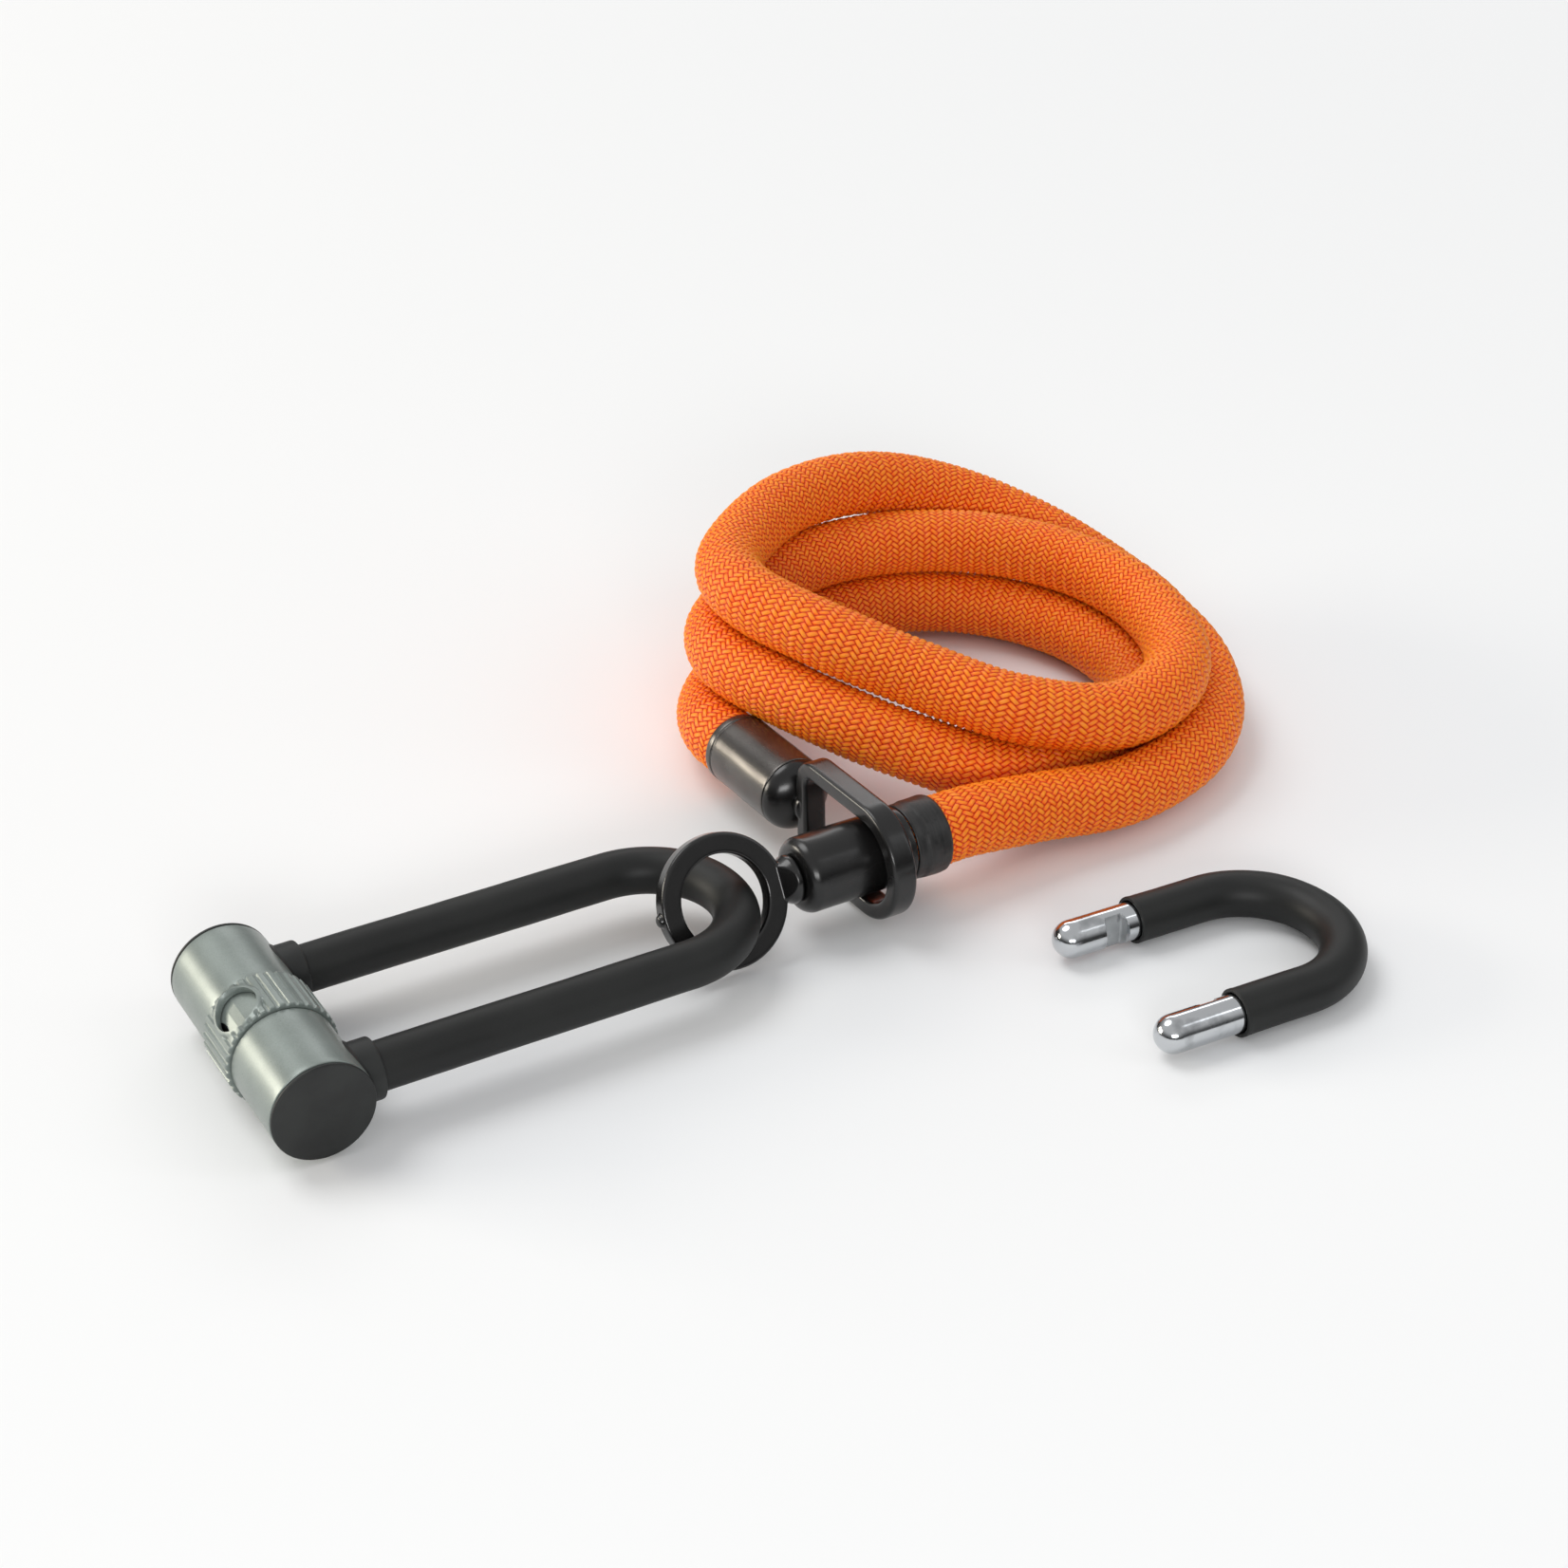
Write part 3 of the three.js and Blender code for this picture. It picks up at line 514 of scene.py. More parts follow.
# ---------------------------------------------------------------- node building
Value = float | bpy.types.NodeSocket


class Nodes:
    """A short hand for building one node tree."""

    def __init__(self, tree: bpy.types.NodeTree) -> None:
        """Takes a tree.

        Args:
            tree: The tree that new nodes go in.
        """
        self.tree = tree

    def add(self, kind: str, **facts: object) -> bpy.types.Node:
        """A new node.

        Args:
            kind: Its type, without the ShaderNode in front.
            facts: Properties to set on it.

        Returns:
            The node.
        """
        node = self.tree.nodes.new("ShaderNode" + kind)
        for key, value in facts.items():
            setattr(node, key, value)
        return node

    def feed(self, socket: bpy.types.NodeSocket, value: Value | tuple) -> None:
        """Links or sets a socket.

        Args:
            socket: The input.
            value: A socket to link, or a value to set.
        """
        if isinstance(value, bpy.types.NodeSocket):
            self.tree.links.new(value, socket)
        else:
            socket.default_value = value

    def math(self, operation: str, *values: Value) -> Value:
        """A math node.

        Args:
            operation: The operation's name.
            values: Its inputs in order.

        Returns:
            Its output.
        """
        node = self.add("Math", operation=operation)
        for socket, value in zip(node.inputs, values):
            self.feed(socket, value)
        return node.outputs[0]

    def mix(self, factor: Value, a: Value | tuple, b: Value | tuple, kind: str = "RGBA") -> Value:
        """A mix node.

        Args:
            factor: How much of b.
            a: The first value.
            b: The second value.
            kind: RGBA, FLOAT or VECTOR.

        Returns:
            Its output.
        """
        node = self.add("Mix", data_type=kind)
        out = ("FLOAT", "VECTOR", "RGBA").index(kind)
        first = 2 + 2 * out
        self.feed(node.inputs[0], factor)
        self.feed(node.inputs[first], a)
        self.feed(node.inputs[first + 1], b)
        return node.outputs[out]

    def ramp(self, value: Value, low: float, high: float, to_low: float = 0.0, to_high: float = 1.0) -> Value:
        """A smooth step between two values.

        Args:
            value: The input.
            low: Where the step starts.
            high: Where it ends.
            to_low: What it gives at the start.
            to_high: What it gives at the end.

        Returns:
            Its output.
        """
        node = self.add("MapRange", interpolation_type="SMOOTHSTEP")
        for socket, item in zip(node.inputs, (value, low, high, to_low, to_high)):
            self.feed(socket, item)
        return node.outputs[0]

    def swing(self, value: Value, amount: float) -> Value:
        """A value's swing about a half.

        Args:
            value: The value, from 0 to 1.
            amount: What the swing is multiplied by.

        Returns:
            The scaled swing.
        """
        return self.math("MULTIPLY", self.math("SUBTRACT", value, 0.5), amount)

    def blend(self, a: Value, share_a: float, b: Value, share_b: float) -> Value:
        """Two values added in given shares.

        Args:
            a: The first value.
            share_a: Its share.
            b: The second value.
            share_b: Its share.

        Returns:
            The sum.
        """
        return self.math("ADD", self.math("MULTIPLY", a, share_a), self.math("MULTIPLY", b, share_b))

    def noise(self, vector: Value, scale: Value, detail: float = 3.0) -> Value:
        """A noise texture's value.

        Args:
            vector: Its coordinates.
            scale: Its scale.
            detail: Its detail.

        Returns:
            The value, around 0.5.
        """
        node = self.add("TexNoise")
        self.feed(node.inputs["Vector"], vector)
        self.feed(node.inputs["Scale"], scale)
        self.feed(node.inputs["Detail"], detail)
        return node.outputs[0]

    def vector(self, *parts: Value) -> Value:
        """A vector from its parts.

        Args:
            parts: X, Y and Z.

        Returns:
            The vector.
        """
        node = self.add("CombineXYZ")
        for socket, value in zip(node.inputs, parts):
            self.feed(socket, value)
        return node.outputs[0]

    def stretched(self, vector: Value, scale: tuple[float, float, float]) -> Value:
        """A vector times another.

        Args:
            vector: The vector.
            scale: What each part is multiplied by.

        Returns:
            The product.
        """
        node = self.add("VectorMath", operation="MULTIPLY")
        self.feed(node.inputs[0], vector)
        node.inputs[1].default_value = scale
        return node.outputs[0]


class Effect(Enum):
    """The shared surface effects."""

    # The braid's group paints shade into the crevices and highlights onto the float crowns.
    BRAID = "effect_braid_painted_light"
    POWDER = "effect_powder"
    RUBBER = "effect_rubber"
    SHRINK = "effect_shrink"
    PLATED = "effect_plated"
    TURNED = "effect_turned"
    MOULDED = "effect_moulded"
    TWIST = "effect_twist"


@dataclass(frozen=True)
class Layer:
    """One noise of an effect, and how much it gives to each output.

    step and deep are the ends of a ramp: of the tint, and of the Deep mask.
    """

    scale: float
    detail: float
    stretch: tuple[float, float, float] = (1.0, 1.0, 1.0)
    tint: float = 0.0
    rough: float = 0.0
    height: float = 0.0
    step: tuple[float, float] | None = None
    deep: tuple[float, float] | None = None


LAYERS = {
    # Fine orange-peel paint with soft smudges.
    Effect.POWDER: (
        Layer(1500.0, 2.0, tint=0.4, height=1.0, deep=(0.62, 0.8)),
        Layer(70.0, 4.0, tint=0.6, height=0.8),
        Layer(28.0, 3.0, (1.0, 3.0, 3.0), rough=0.22),
    ),
    # Matt rubber hose with handling marks.
    Effect.RUBBER: (
        Layer(2400.0, 2.0, tint=0.3, height=0.5),
        Layer(110.0, 3.0, height=1.6),
        Layer(32.0, 5.0, tint=0.7, rough=0.3, deep=(0.6, 0.8)),
    ),
    # Heat-shrunk film with faint rings drawn round it.
    Effect.SHRINK: (
        Layer(120.0, 3.0, (9.0, 1.0, 1.0), tint=1.0, rough=0.3, height=1.4),
        Layer(520.0, 1.0, height=0.8, deep=(0.6, 0.75)),
    ),
    # Polished plating with very fine draw lines and water marks.
    Effect.PLATED: (
        Layer(60.0, 3.0, (60.0, 1.0, 60.0), rough=0.16, height=1.0),
        Layer(90.0, 5.0, tint=1.0, rough=0.16, height=1.0, step=(0.45, 0.75), deep=(0.62, 0.72)),
    ),
    # Machined metal with tool marks and dull patches.
    Effect.TURNED: (
        Layer(500.0, 3.0, (1.0, 14.0, 1.0), height=1.0),
        Layer(160.0, 4.0, tint=1.0, rough=0.35, deep=(0.58, 0.75)),
    ),
    # Loose twisted filaments of a rope core.
    Effect.TWIST: (Layer(900.0, 4.0, (1.0, 1.0, 3.0), tint=1.0, rough=0.1, height=1.0, deep=(0.55, 0.7)),),
}
OUTPUTS = ("Tint", "Rough", "Height", "Deep")


class EffectGroups:
    """Builds each shared effect once, as a node group.

    Every group takes a Vector and gives four values. Tint and Deep are colour masks,
    Rough is added to the roughness, and Height feeds a bump. In the braid, Tint also carries
    a painted highlight on the float crowns and Deep is painted shade in the crevices.
    """

    _made: dict[Effect, bpy.types.NodeTree] = {}

    @classmethod
    def get(cls, effect: Effect) -> bpy.types.NodeTree:
        """The group for an effect.

        Args:
            effect: Which one.

        Returns:
            Its node tree.
        """
        if effect not in cls._made:
            tree = bpy.data.node_groups.new(effect.value, "ShaderNodeTree")
            tree.interface.new_socket("Vector", in_out="INPUT", socket_type="NodeSocketVector")
            for name in OUTPUTS:
                tree.interface.new_socket(name, in_out="OUTPUT", socket_type="NodeSocketFloat")
            nodes = Nodes(tree)
            vector = tree.nodes.new("NodeGroupInput").outputs[0]
            result = tree.nodes.new("NodeGroupOutput")
            if effect in LAYERS:
                values = cls.layered(nodes, vector, LAYERS[effect])
            else:
                values = (cls._braid if effect is Effect.BRAID else cls._moulded)(nodes, vector)
            for socket, value in zip(result.inputs, values):
                nodes.feed(socket, value)
            cls._made[effect] = tree
        return cls._made[effect]

    @staticmethod
    def _braid(n: Nodes, vector: Value) -> tuple[Value, ...]:
        """Two-over-two braid from a map whose X runs round the rope and Y along it.

        Args:
            n: The tree.
            vector: The coordinates.

        Returns:
            Tint, Rough, Height and Deep. Tint lightens the float crowns as a painted highlight, on top of
            each strand's random tone; Deep darkens the crevices between the floats as painted shade.
        """
        parts = n.add("SeparateXYZ")
        n.feed(parts.inputs[0], vector)
        u, w = parts.outputs[0], parts.outputs[1]
        carriers = float(RopeBuilder.CARRIERS)
        a = n.math("MULTIPLY", n.math("ADD", u, w), carriers)
        b = n.math("MULTIPLY", n.math("SUBTRACT", u, w), carriers)
        i, j = n.math("FLOOR", a), n.math("FLOOR", b)
        fa, fb = n.math("SUBTRACT", a, i), n.math("SUBTRACT", b, j)
        gap = n.math("SUBTRACT", i, j)
        m = n.math("FLOORED_MODULO", gap, 4.0)
        under = n.math("GREATER_THAN", m, 1.5)
        across = n.mix(under, fa, fb, "FLOAT")
        along_s = n.math("MULTIPLY", n.math("ADD", n.math("SUBTRACT", 1.0, m), fb), 0.5)
        along_z = n.math("MULTIPLY", n.math("ADD", n.math("SUBTRACT", m, 2.0), fa), 0.5)
        along = n.mix(under, along_s, along_z, "FLOAT")
        side = n.math("SUBTRACT", n.math("MULTIPLY", across, 2.0), 1.0)
        square = n.math("MULTIPLY", side, side)
        crown = n.math("SQRT", n.math("SUBTRACT", 1.0, n.math("MULTIPLY", square, 0.96)))
        rise = n.math("SINE", n.math("MULTIPLY", along, math.pi))
        arch = n.math("ADD", n.math("MULTIPLY", n.math("POWER", rise, 0.6), 0.62), 0.38)
        height = n.math("MULTIPLY", crown, arch)
        # Painted shade: the low ground between the floats is darkened, standing in for shadow in the
        # crevices.
        deep = n.ramp(height, 0.12, 0.78, 1.0, 0.0)
        strand = n.mix(under, n.math("FLOORED_MODULO", i, carriers), j, "FLOAT")
        number = n.math("FLOOR", n.math("MULTIPLY", gap, 0.25))
        noise = n.add("TexWhiteNoise", noise_dimensions="3D")
        n.feed(noise.inputs["Vector"], n.vector(strand, number, under))
        chance = noise.outputs[0]
        wander = n.blend(across, 9.0, along, 2.2)
        yarn = n.vector(wander, n.math("MULTIPLY", along, 0.9), n.math("MULTIPLY", chance, 40.0))
        fibre = n.noise(yarn, 1.0, 2.0)
        # Tint mixes each strand's random tone and its fibres with a painted highlight: the higher a float's
        # crown, the lighter.
        tint = n.math("ADD", n.blend(chance, 0.16, fibre, 0.3), n.math("MULTIPLY", height, 0.7))
        relief = n.math("ADD", height, n.swing(fibre, 0.34))
        return tint, n.swing(fibre, 0.25), relief, deep

    @staticmethod
    def _moulded(n: Nodes, vector: Value) -> tuple[Value, ...]:
        """Spark-eroded texture of a moulded plastic face.

        Args:
            n: The tree.
            vector: The coordinates, in metres.

        Returns:
            Tint, Rough, Height and Deep.
        """
        pits = n.add("TexVoronoi", feature="SMOOTH_F1")
        n.feed(pits.inputs["Vector"], vector)
        n.feed(pits.inputs["Scale"], 1700.0)
        cloud = n.noise(vector, 60.0, 4.0)
        return cloud, n.swing(cloud, 0.2), pits.outputs["Distance"], n.ramp(cloud, 0.6, 0.8)

    @staticmethod
    def layered(n: Nodes, vector: Value, layers: tuple[Layer, ...]) -> tuple[Value, ...]:
        """An effect made of layers of noise.

        Args:
            n: The tree.
            vector: The coordinates, in metres.
            layers: The layers.

        Returns:
            Tint, Rough, Height and Deep.
        """
        tint: Value = 0.0
        rough: Value = 0.0
        height: Value = 0.0
        deep: Value = 0.0
        for layer in layers:
            value = n.noise(n.stretched(vector, layer.stretch), layer.scale, layer.detail)
            shade = n.ramp(value, *layer.step) if layer.step else value
            tint = n.math("ADD", tint, n.math("MULTIPLY", shade, layer.tint))
            rough = n.math("ADD", rough, n.swing(value, layer.rough))
            height = n.math("ADD", height, n.math("MULTIPLY", value, layer.height))
            deep = n.ramp(value, *layer.deep) if layer.deep else deep
        return tint, rough, height, deep



Colour = tuple[float, float, float]


def paint(red: int, green: int, blue: int) -> Colour:
    """A screen colour as linear light.

    Args:
        red: 0 to 255.
        green: 0 to 255.
        blue: 0 to 255.

    Returns:
        The linear colour.
    """
    scaled = (value / 255 for value in (red, green, blue))
    return tuple(value / 12.92 if value <= 0.04045 else ((value + 0.055) / 1.055) ** 2.4 for value in scaled)


# The finishes' materials, by name, as they are made.
MATERIALS: dict[str, bpy.types.Material] = {}
COAT_ROUGHNESS = 0.25
SMOOTHEST = 0.06


@dataclass(frozen=True)
class Finish:
    """One surface finish: its colours, its gloss and the effect that breaks it up."""

    name: str
    effect: Effect
    base: Colour
    tinted: Colour
    deep: Colour
    roughness: float
    metallic: float = 0.0
    coat: float = 0.0
    specular: float = 0.5
    bump: float = 0.2
    relief: float = 0.05
    spread: tuple[float, float] = (0.3, 0.7)
    deep_amount: float = 1.0
    uses_map: bool = False
    slot: str = ""

    def material(self) -> bpy.types.Material:
        """The finish's material, made on first use.

        Returns:
            The material.
        """
        if self.name in MATERIALS:
            return MATERIALS[self.name]
        material = bpy.data.materials.new("look_" + self.name)
        MATERIALS[self.name] = material
        material.use_nodes = True
        tree = material.node_tree
        n = Nodes(tree)
        shader = tree.nodes["Principled BSDF"]
        where = n.add("TexCoord").outputs["UV" if self.uses_map else "Object"]
        group = n.add("Group", node_tree=EffectGroups.get(self.effect))
        n.feed(group.inputs[0], where)
        tint, rough, height, deep = (group.outputs[name] for name in OUTPUTS)
        share = n.ramp(tint, *self.spread)
        body = n.mix(share, (*self.base, 1), (*self.tinted, 1))
        amount = n.math("MULTIPLY", deep, self.deep_amount)
        n.feed(shader.inputs["Base Color"], n.mix(amount, body, (*self.deep, 1)))
        level = n.math("ADD", rough, self.roughness)
        n.feed(shader.inputs["Roughness"], self.graded(n, level))
        n.feed(shader.inputs["Metallic"], self.metallic)
        n.feed(shader.inputs["Coat Weight"], self.coat)
        n.feed(shader.inputs["Coat Roughness"], COAT_ROUGHNESS)
        n.feed(shader.inputs["Specular IOR Level"], self.specular)
        bump = n.add("Bump")
        n.feed(bump.inputs["Strength"], self.bump)
        n.feed(bump.inputs["Distance"], self.relief * MM)
        n.feed(bump.inputs["Height"], height)
        n.feed(shader.inputs["Normal"], bump.outputs[0])
        return material

    def graded(self, n: Nodes, level: Value) -> Value:
        """The roughness that reaches the shader.

        Args:
            n: The material's tree.
            level: The roughness so far.

        Returns:
            The roughness, kept within its limits.
        """
        return n.math("MINIMUM", n.math("MAXIMUM", level, SMOOTHEST), 1.0)


@dataclass(frozen=True)
class PolishedBore(Finish):
    """A satin finish that is rubbed bright near an axis, as on a ring's inner face."""

    inner: float = 16.2
    outer: float = 18.0
    polish: float = 0.12

    def graded(self, n: Nodes, level: Value) -> Value:
        """Lowers the roughness near the object's own Z axis.

        Args:
            n: The material's tree.
            level: The roughness so far.

        Returns:
            The roughness, kept within its limits.
        """
        spot = n.stretched(n.add("TexCoord").outputs["Object"], (1.0, 1.0, 0.0))
        reach = n.add("VectorMath", operation="LENGTH")
        n.feed(reach.inputs[0], spot)
        far = n.ramp(reach.outputs["Value"], self.inner * MM, self.outer * MM)
        return n.mix(far, self.polish, super().graded(n, level), "FLOAT")


# The braid's colours: the lighter tinted orange is partly the strands' random tone and partly a painted
# highlight on the float crowns; the dark red deep colour is painted shade in the crevices between the floats.
BRAID = Finish(
    "orange_braid", Effect.BRAID,
    paint(252, 78, 3), paint(255, 150, 34), paint(200, 30, 0),
    roughness=0.38, specular=0.3, bump=1.0, relief=0.6, spread=(0.35, 1.05),
    uses_map=True,
)
CORE_YARN = Finish(
    "core_yarn", Effect.TWIST,
    paint(214, 206, 188), paint(236, 230, 214), paint(150, 142, 122),
    roughness=0.9, bump=0.6, relief=0.2,
)
SHRINK = Finish(
    "black_shrink_sleeve", Effect.SHRINK,
    paint(20, 20, 20), paint(34, 33, 33), paint(12, 12, 12),
    roughness=0.42, specular=0.5, bump=0.5, relief=0.18,
)
SATIN_BLACK = Finish(
    "satin_black", Effect.POWDER,
    paint(13, 13, 13), paint(22, 21, 21), paint(8, 8, 8),
    roughness=0.25, specular=0.35, coat=0.3, bump=0.2, relief=0.03,
)
RING_BLACK = PolishedBore(
    "ring_black", Effect.POWDER,
    paint(12, 12, 12), paint(21, 20, 20), paint(8, 8, 8),
    roughness=0.22, specular=0.4, coat=0.4, bump=0.18, relief=0.03, slot="satin_black",
)
BARREL_BLACK = Finish(
    "barrel_black", Effect.POWDER,
    paint(78, 75, 73), paint(98, 95, 92), paint(52, 50, 49),
    roughness=0.26, metallic=0.85, coat=0.1, bump=0.3, relief=0.05, slot="satin_black",
)
RUBBER = Finish(
    "black_rubber", Effect.RUBBER,
    paint(17, 18, 18), paint(29, 30, 29), paint(40, 41, 40),
    roughness=0.52, specular=0.35, bump=0.35, relief=0.05, deep_amount=0.35,
)
SHELL = Finish(
    "shell_grey", Effect.POWDER,
    paint(119, 128, 124), paint(134, 143, 139), paint(101, 109, 105),
    roughness=0.36, metallic=0.35, coat=0.15, bump=0.16, relief=0.03,
)
PLASTIC = Finish(
    "black_plastic", Effect.MOULDED,
    paint(24, 25, 25), paint(37, 39, 38), paint(30, 31, 31),
    roughness=0.5, specular=0.4, bump=0.35, relief=0.04,
)
STEEL = Finish(
    "bright_steel", Effect.PLATED,
    paint(200, 203, 206), paint(184, 187, 190), paint(150, 152, 155),
    roughness=0.14, metallic=1.0, bump=0.06, relief=0.02, deep_amount=0.5,
)
FROSTED = Finish(
    "frosted_steel", Effect.TURNED,
    paint(160, 163, 165), paint(184, 187, 189), paint(120, 122, 124),
    roughness=0.52, metallic=0.9, bump=0.6, relief=0.05,
)
DARK_STEEL = Finish(
    "dark_steel", Effect.TURNED,
    paint(82, 85, 88), paint(108, 111, 114), paint(54, 56, 58),
    roughness=0.42, metallic=0.95, bump=0.4, relief=0.03,
)
BRASS = Finish(
    "lock_brass", Effect.TURNED,
    paint(184, 148, 78), paint(206, 172, 100), paint(122, 92, 44),
    roughness=0.34, metallic=1.0, bump=0.35, relief=0.03,
)


# ---------------------------------------------------------------- rope
@dataclass
class RopeBuilder:
    """The free braided rope, from one fitting's mouth to the other's.

    Each entry of WAVES is a slow unevenness of the surface: its size in millimetres, its
    waves per braid turn along the rope, its lobes around it, and where it starts.
    """

    CARRIERS = 32
    WAVES = ((0.05, 7.3, 3, 0.0), (0.04, 17.1, -2, 1.3))

    sizes: Sizes
    places: Places
    turn_length: float = 92.0
    weave_depth: float = 0.75
    diameter: float = 24.5
    swell: float = 0.2
    crown: float = 0.86
    valley: float = 0.14
    measure_points: int = 8001
    cord_points: int = 600
    curve_steps: int = 80

    def stations(self) -> np.ndarray:
        """The points that the centreline passes through.

        Returns:
            N x 3 points, in millimetres.
        """
        s = self.sizes
        start = s.ring_mouth + s.rope_seat - s.clear
        end = s.dee_mouth + s.rope_seat - s.clear
        ring = [start, (start + s.shrink_end) / 2, s.shrink_end, s.shrink_end - 3 * s.rope_seat]
        dee = [s.dee_mouth - 3.5 * s.rope_seat, s.dee_mouth - s.clear, end]
        shift = self.places.shift
        points = [self.places.ring_end @ Vector((x, 0, 0)) for x in ring]
        points += [Vector(point) / MM + shift for point in ROPE_ROUTE]
        points += [self.places.dee_end @ Vector((x, 0, 0)) for x in dee]
        return np.array([tuple(point) for point in points])

    def centreline(self, count: int) -> np.ndarray:
        """Evenly spaced points on the centripetal spline through the stations.

        Args:
            count: How many.

        Returns:
            count x 3 points, in millimetres.
        """
        p = self.stations()
        p = np.vstack([2 * p[0] - p[1], p, 2 * p[-1] - p[-2]])
        t = np.linspace(0, 1, self.curve_steps + 1)[:-1, None]
        parts = []
        for a, b, c, d in zip(p[:-3], p[1:-2], p[2:-1], p[3:]):
            ta, tb, tc = (float(np.linalg.norm(y - x)) ** 0.5 for x, y in ((a, b), (b, c), (c, d)))
            out = ((b - a) / ta - (c - a) / (ta + tb) + (c - b) / tb) * tb
            into = ((c - b) / tb - (d - b) / (tb + tc) + (d - c) / tc) * tb
            square, cube = 2 * b - 2 * c + out + into, -3 * b + 3 * c - 2 * out - into
            parts.append(square * t**3 + cube * t**2 + out * t + b)
        fine = np.vstack([*parts, p[-2:-1]])
        run = np.concatenate([[0], np.cumsum(np.linalg.norm(np.diff(fine, axis=0), axis=1))])
        even = np.linspace(0, run[-1], count)
        return np.column_stack([np.interp(even, run, fine[:, axis]) for axis in range(3)])

    def frames(self, line: np.ndarray) -> tuple[np.ndarray, np.ndarray]:
        """Two directions square to the centreline at every point, without twist.

        Args:
            line: N x 3 points.

        Returns:
            Two N x 3 arrays of unit vectors.
        """
        tangent = np.gradient(line, axis=0)
        tangent /= np.linalg.norm(tangent, axis=1)[:, None]
        side = np.cross(tangent[0], [0, 0, 1.0])
        sides = []
        for way in tangent:
            side = side - way * (side @ way)
            side /= np.linalg.norm(side)
            sides.append(side)
        first = np.array(sides)
        return first, np.cross(tangent, first)

    def height(self, a: np.ndarray, b: np.ndarray) -> np.ndarray:
        """How high the weave stands at points of the strand lattice, in half steps.

        Args:
            a: Twice the place across the first family of strands.
            b: Twice the place across the second family.

        Returns:
            Heights from 0 to 1.
        """
        i, j = a // 2, b // 2
        odd_a, odd_b = a % 2 == 1, b % 2 == 1
        phase = (i - j) % 4
        high = np.where(odd_a & odd_b, self.crown, self.valley)
        high = np.where(odd_a & ~odd_b & (phase == 0), 1.0, high)
        high = np.where(odd_b & ~odd_a & (phase == 3), 1.0, high)
        return np.where(~odd_a & ~odd_b, 0.0, high)

    def build(self) -> bpy.types.Object:
        """Returns:
            The rope.
        """
        line = self.centreline(self.measure_points)
        length = float(np.sum(np.linalg.norm(np.diff(line, axis=0), axis=1)))
        carriers = self.CARRIERS
        columns, ring = 2 * carriers, 4 * carriers
        rows = round(length / self.turn_length * ring) + 1
        line = self.centreline(rows)
        first, second = self.frames(line)
        step = length / (rows - 1) / self.turn_length
        q = np.arange(rows)[:, None]
        p = 2 * np.arange(columns)[None, :] + q % 2
        a, b = (p + q) // 2, (p - q) // 2
        high = self.height(a, b)
        angle, along = TAU * p / ring, np.broadcast_to(q * step, p.shape)
        soft = sum(size * np.sin(along * wave + lobes * angle + at) for size, wave, lobes, at in self.WAVES)
        radius = self.diameter / 2 + self.swell - self.weave_depth * (1 - high) + soft
        ends = np.minimum(q, rows - 1 - q) < ring * self.sizes.rope_seat / self.turn_length
        radius = np.where(ends, np.minimum(radius, self.diameter / 2 - 0.1), radius)
        points = line[:, None] + radius[..., None] * (
            np.cos(angle)[..., None] * first[:, None] + np.sin(angle)[..., None] * second[:, None]
        )
        faces: list[tuple[int, ...]] = []
        maps: list[tuple[float, float]] = []
        for row in range(rows):
            y = row * step
            for k in range(columns):
                left, right = k, (k + 1) % columns
                centre = 2 * k + row % 2 + 1
                other = (centre // 2) % columns if (row + 1) % 2 == 0 else ((centre - 1) // 2) % columns
                tile = [(row * columns + left, centre - 1, y)]
                if row > 0:
                    tile.append(((row - 1) * columns + other, centre, y - step))
                tile.append((row * columns + right, centre + 1, y))
                if row < rows - 1:
                    tile.append(((row + 1) * columns + other, centre, y + step))
                faces.append(tuple(index for index, _, _ in tile))
                maps.extend((x / ring, v) for _, x, v in tile)
        for row in (0, rows - 1):
            cap = range(row * columns, (row + 1) * columns)
            faces.append(tuple(cap))
            maps.extend((0.0, row * step) for _ in cap)
        mesh = to_mesh("rope", Shape(points.reshape(-1, 3), faces), tidy=False)
        mesh.uv_layers.new(name="Weave").data.foreach_set("uv", [value for pair in maps for value in pair])
        mesh.materials.append(BRAID.material())
        rope = added("rope", mesh)
        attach(rope, "rope_set")
        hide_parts("rope_cover")
        path = (self.centreline(self.cord_points) * MM).tolist()
        LOG.info("built rope, %.3f m long, %d faces", length * MM, len(mesh.polygons))
        return rope


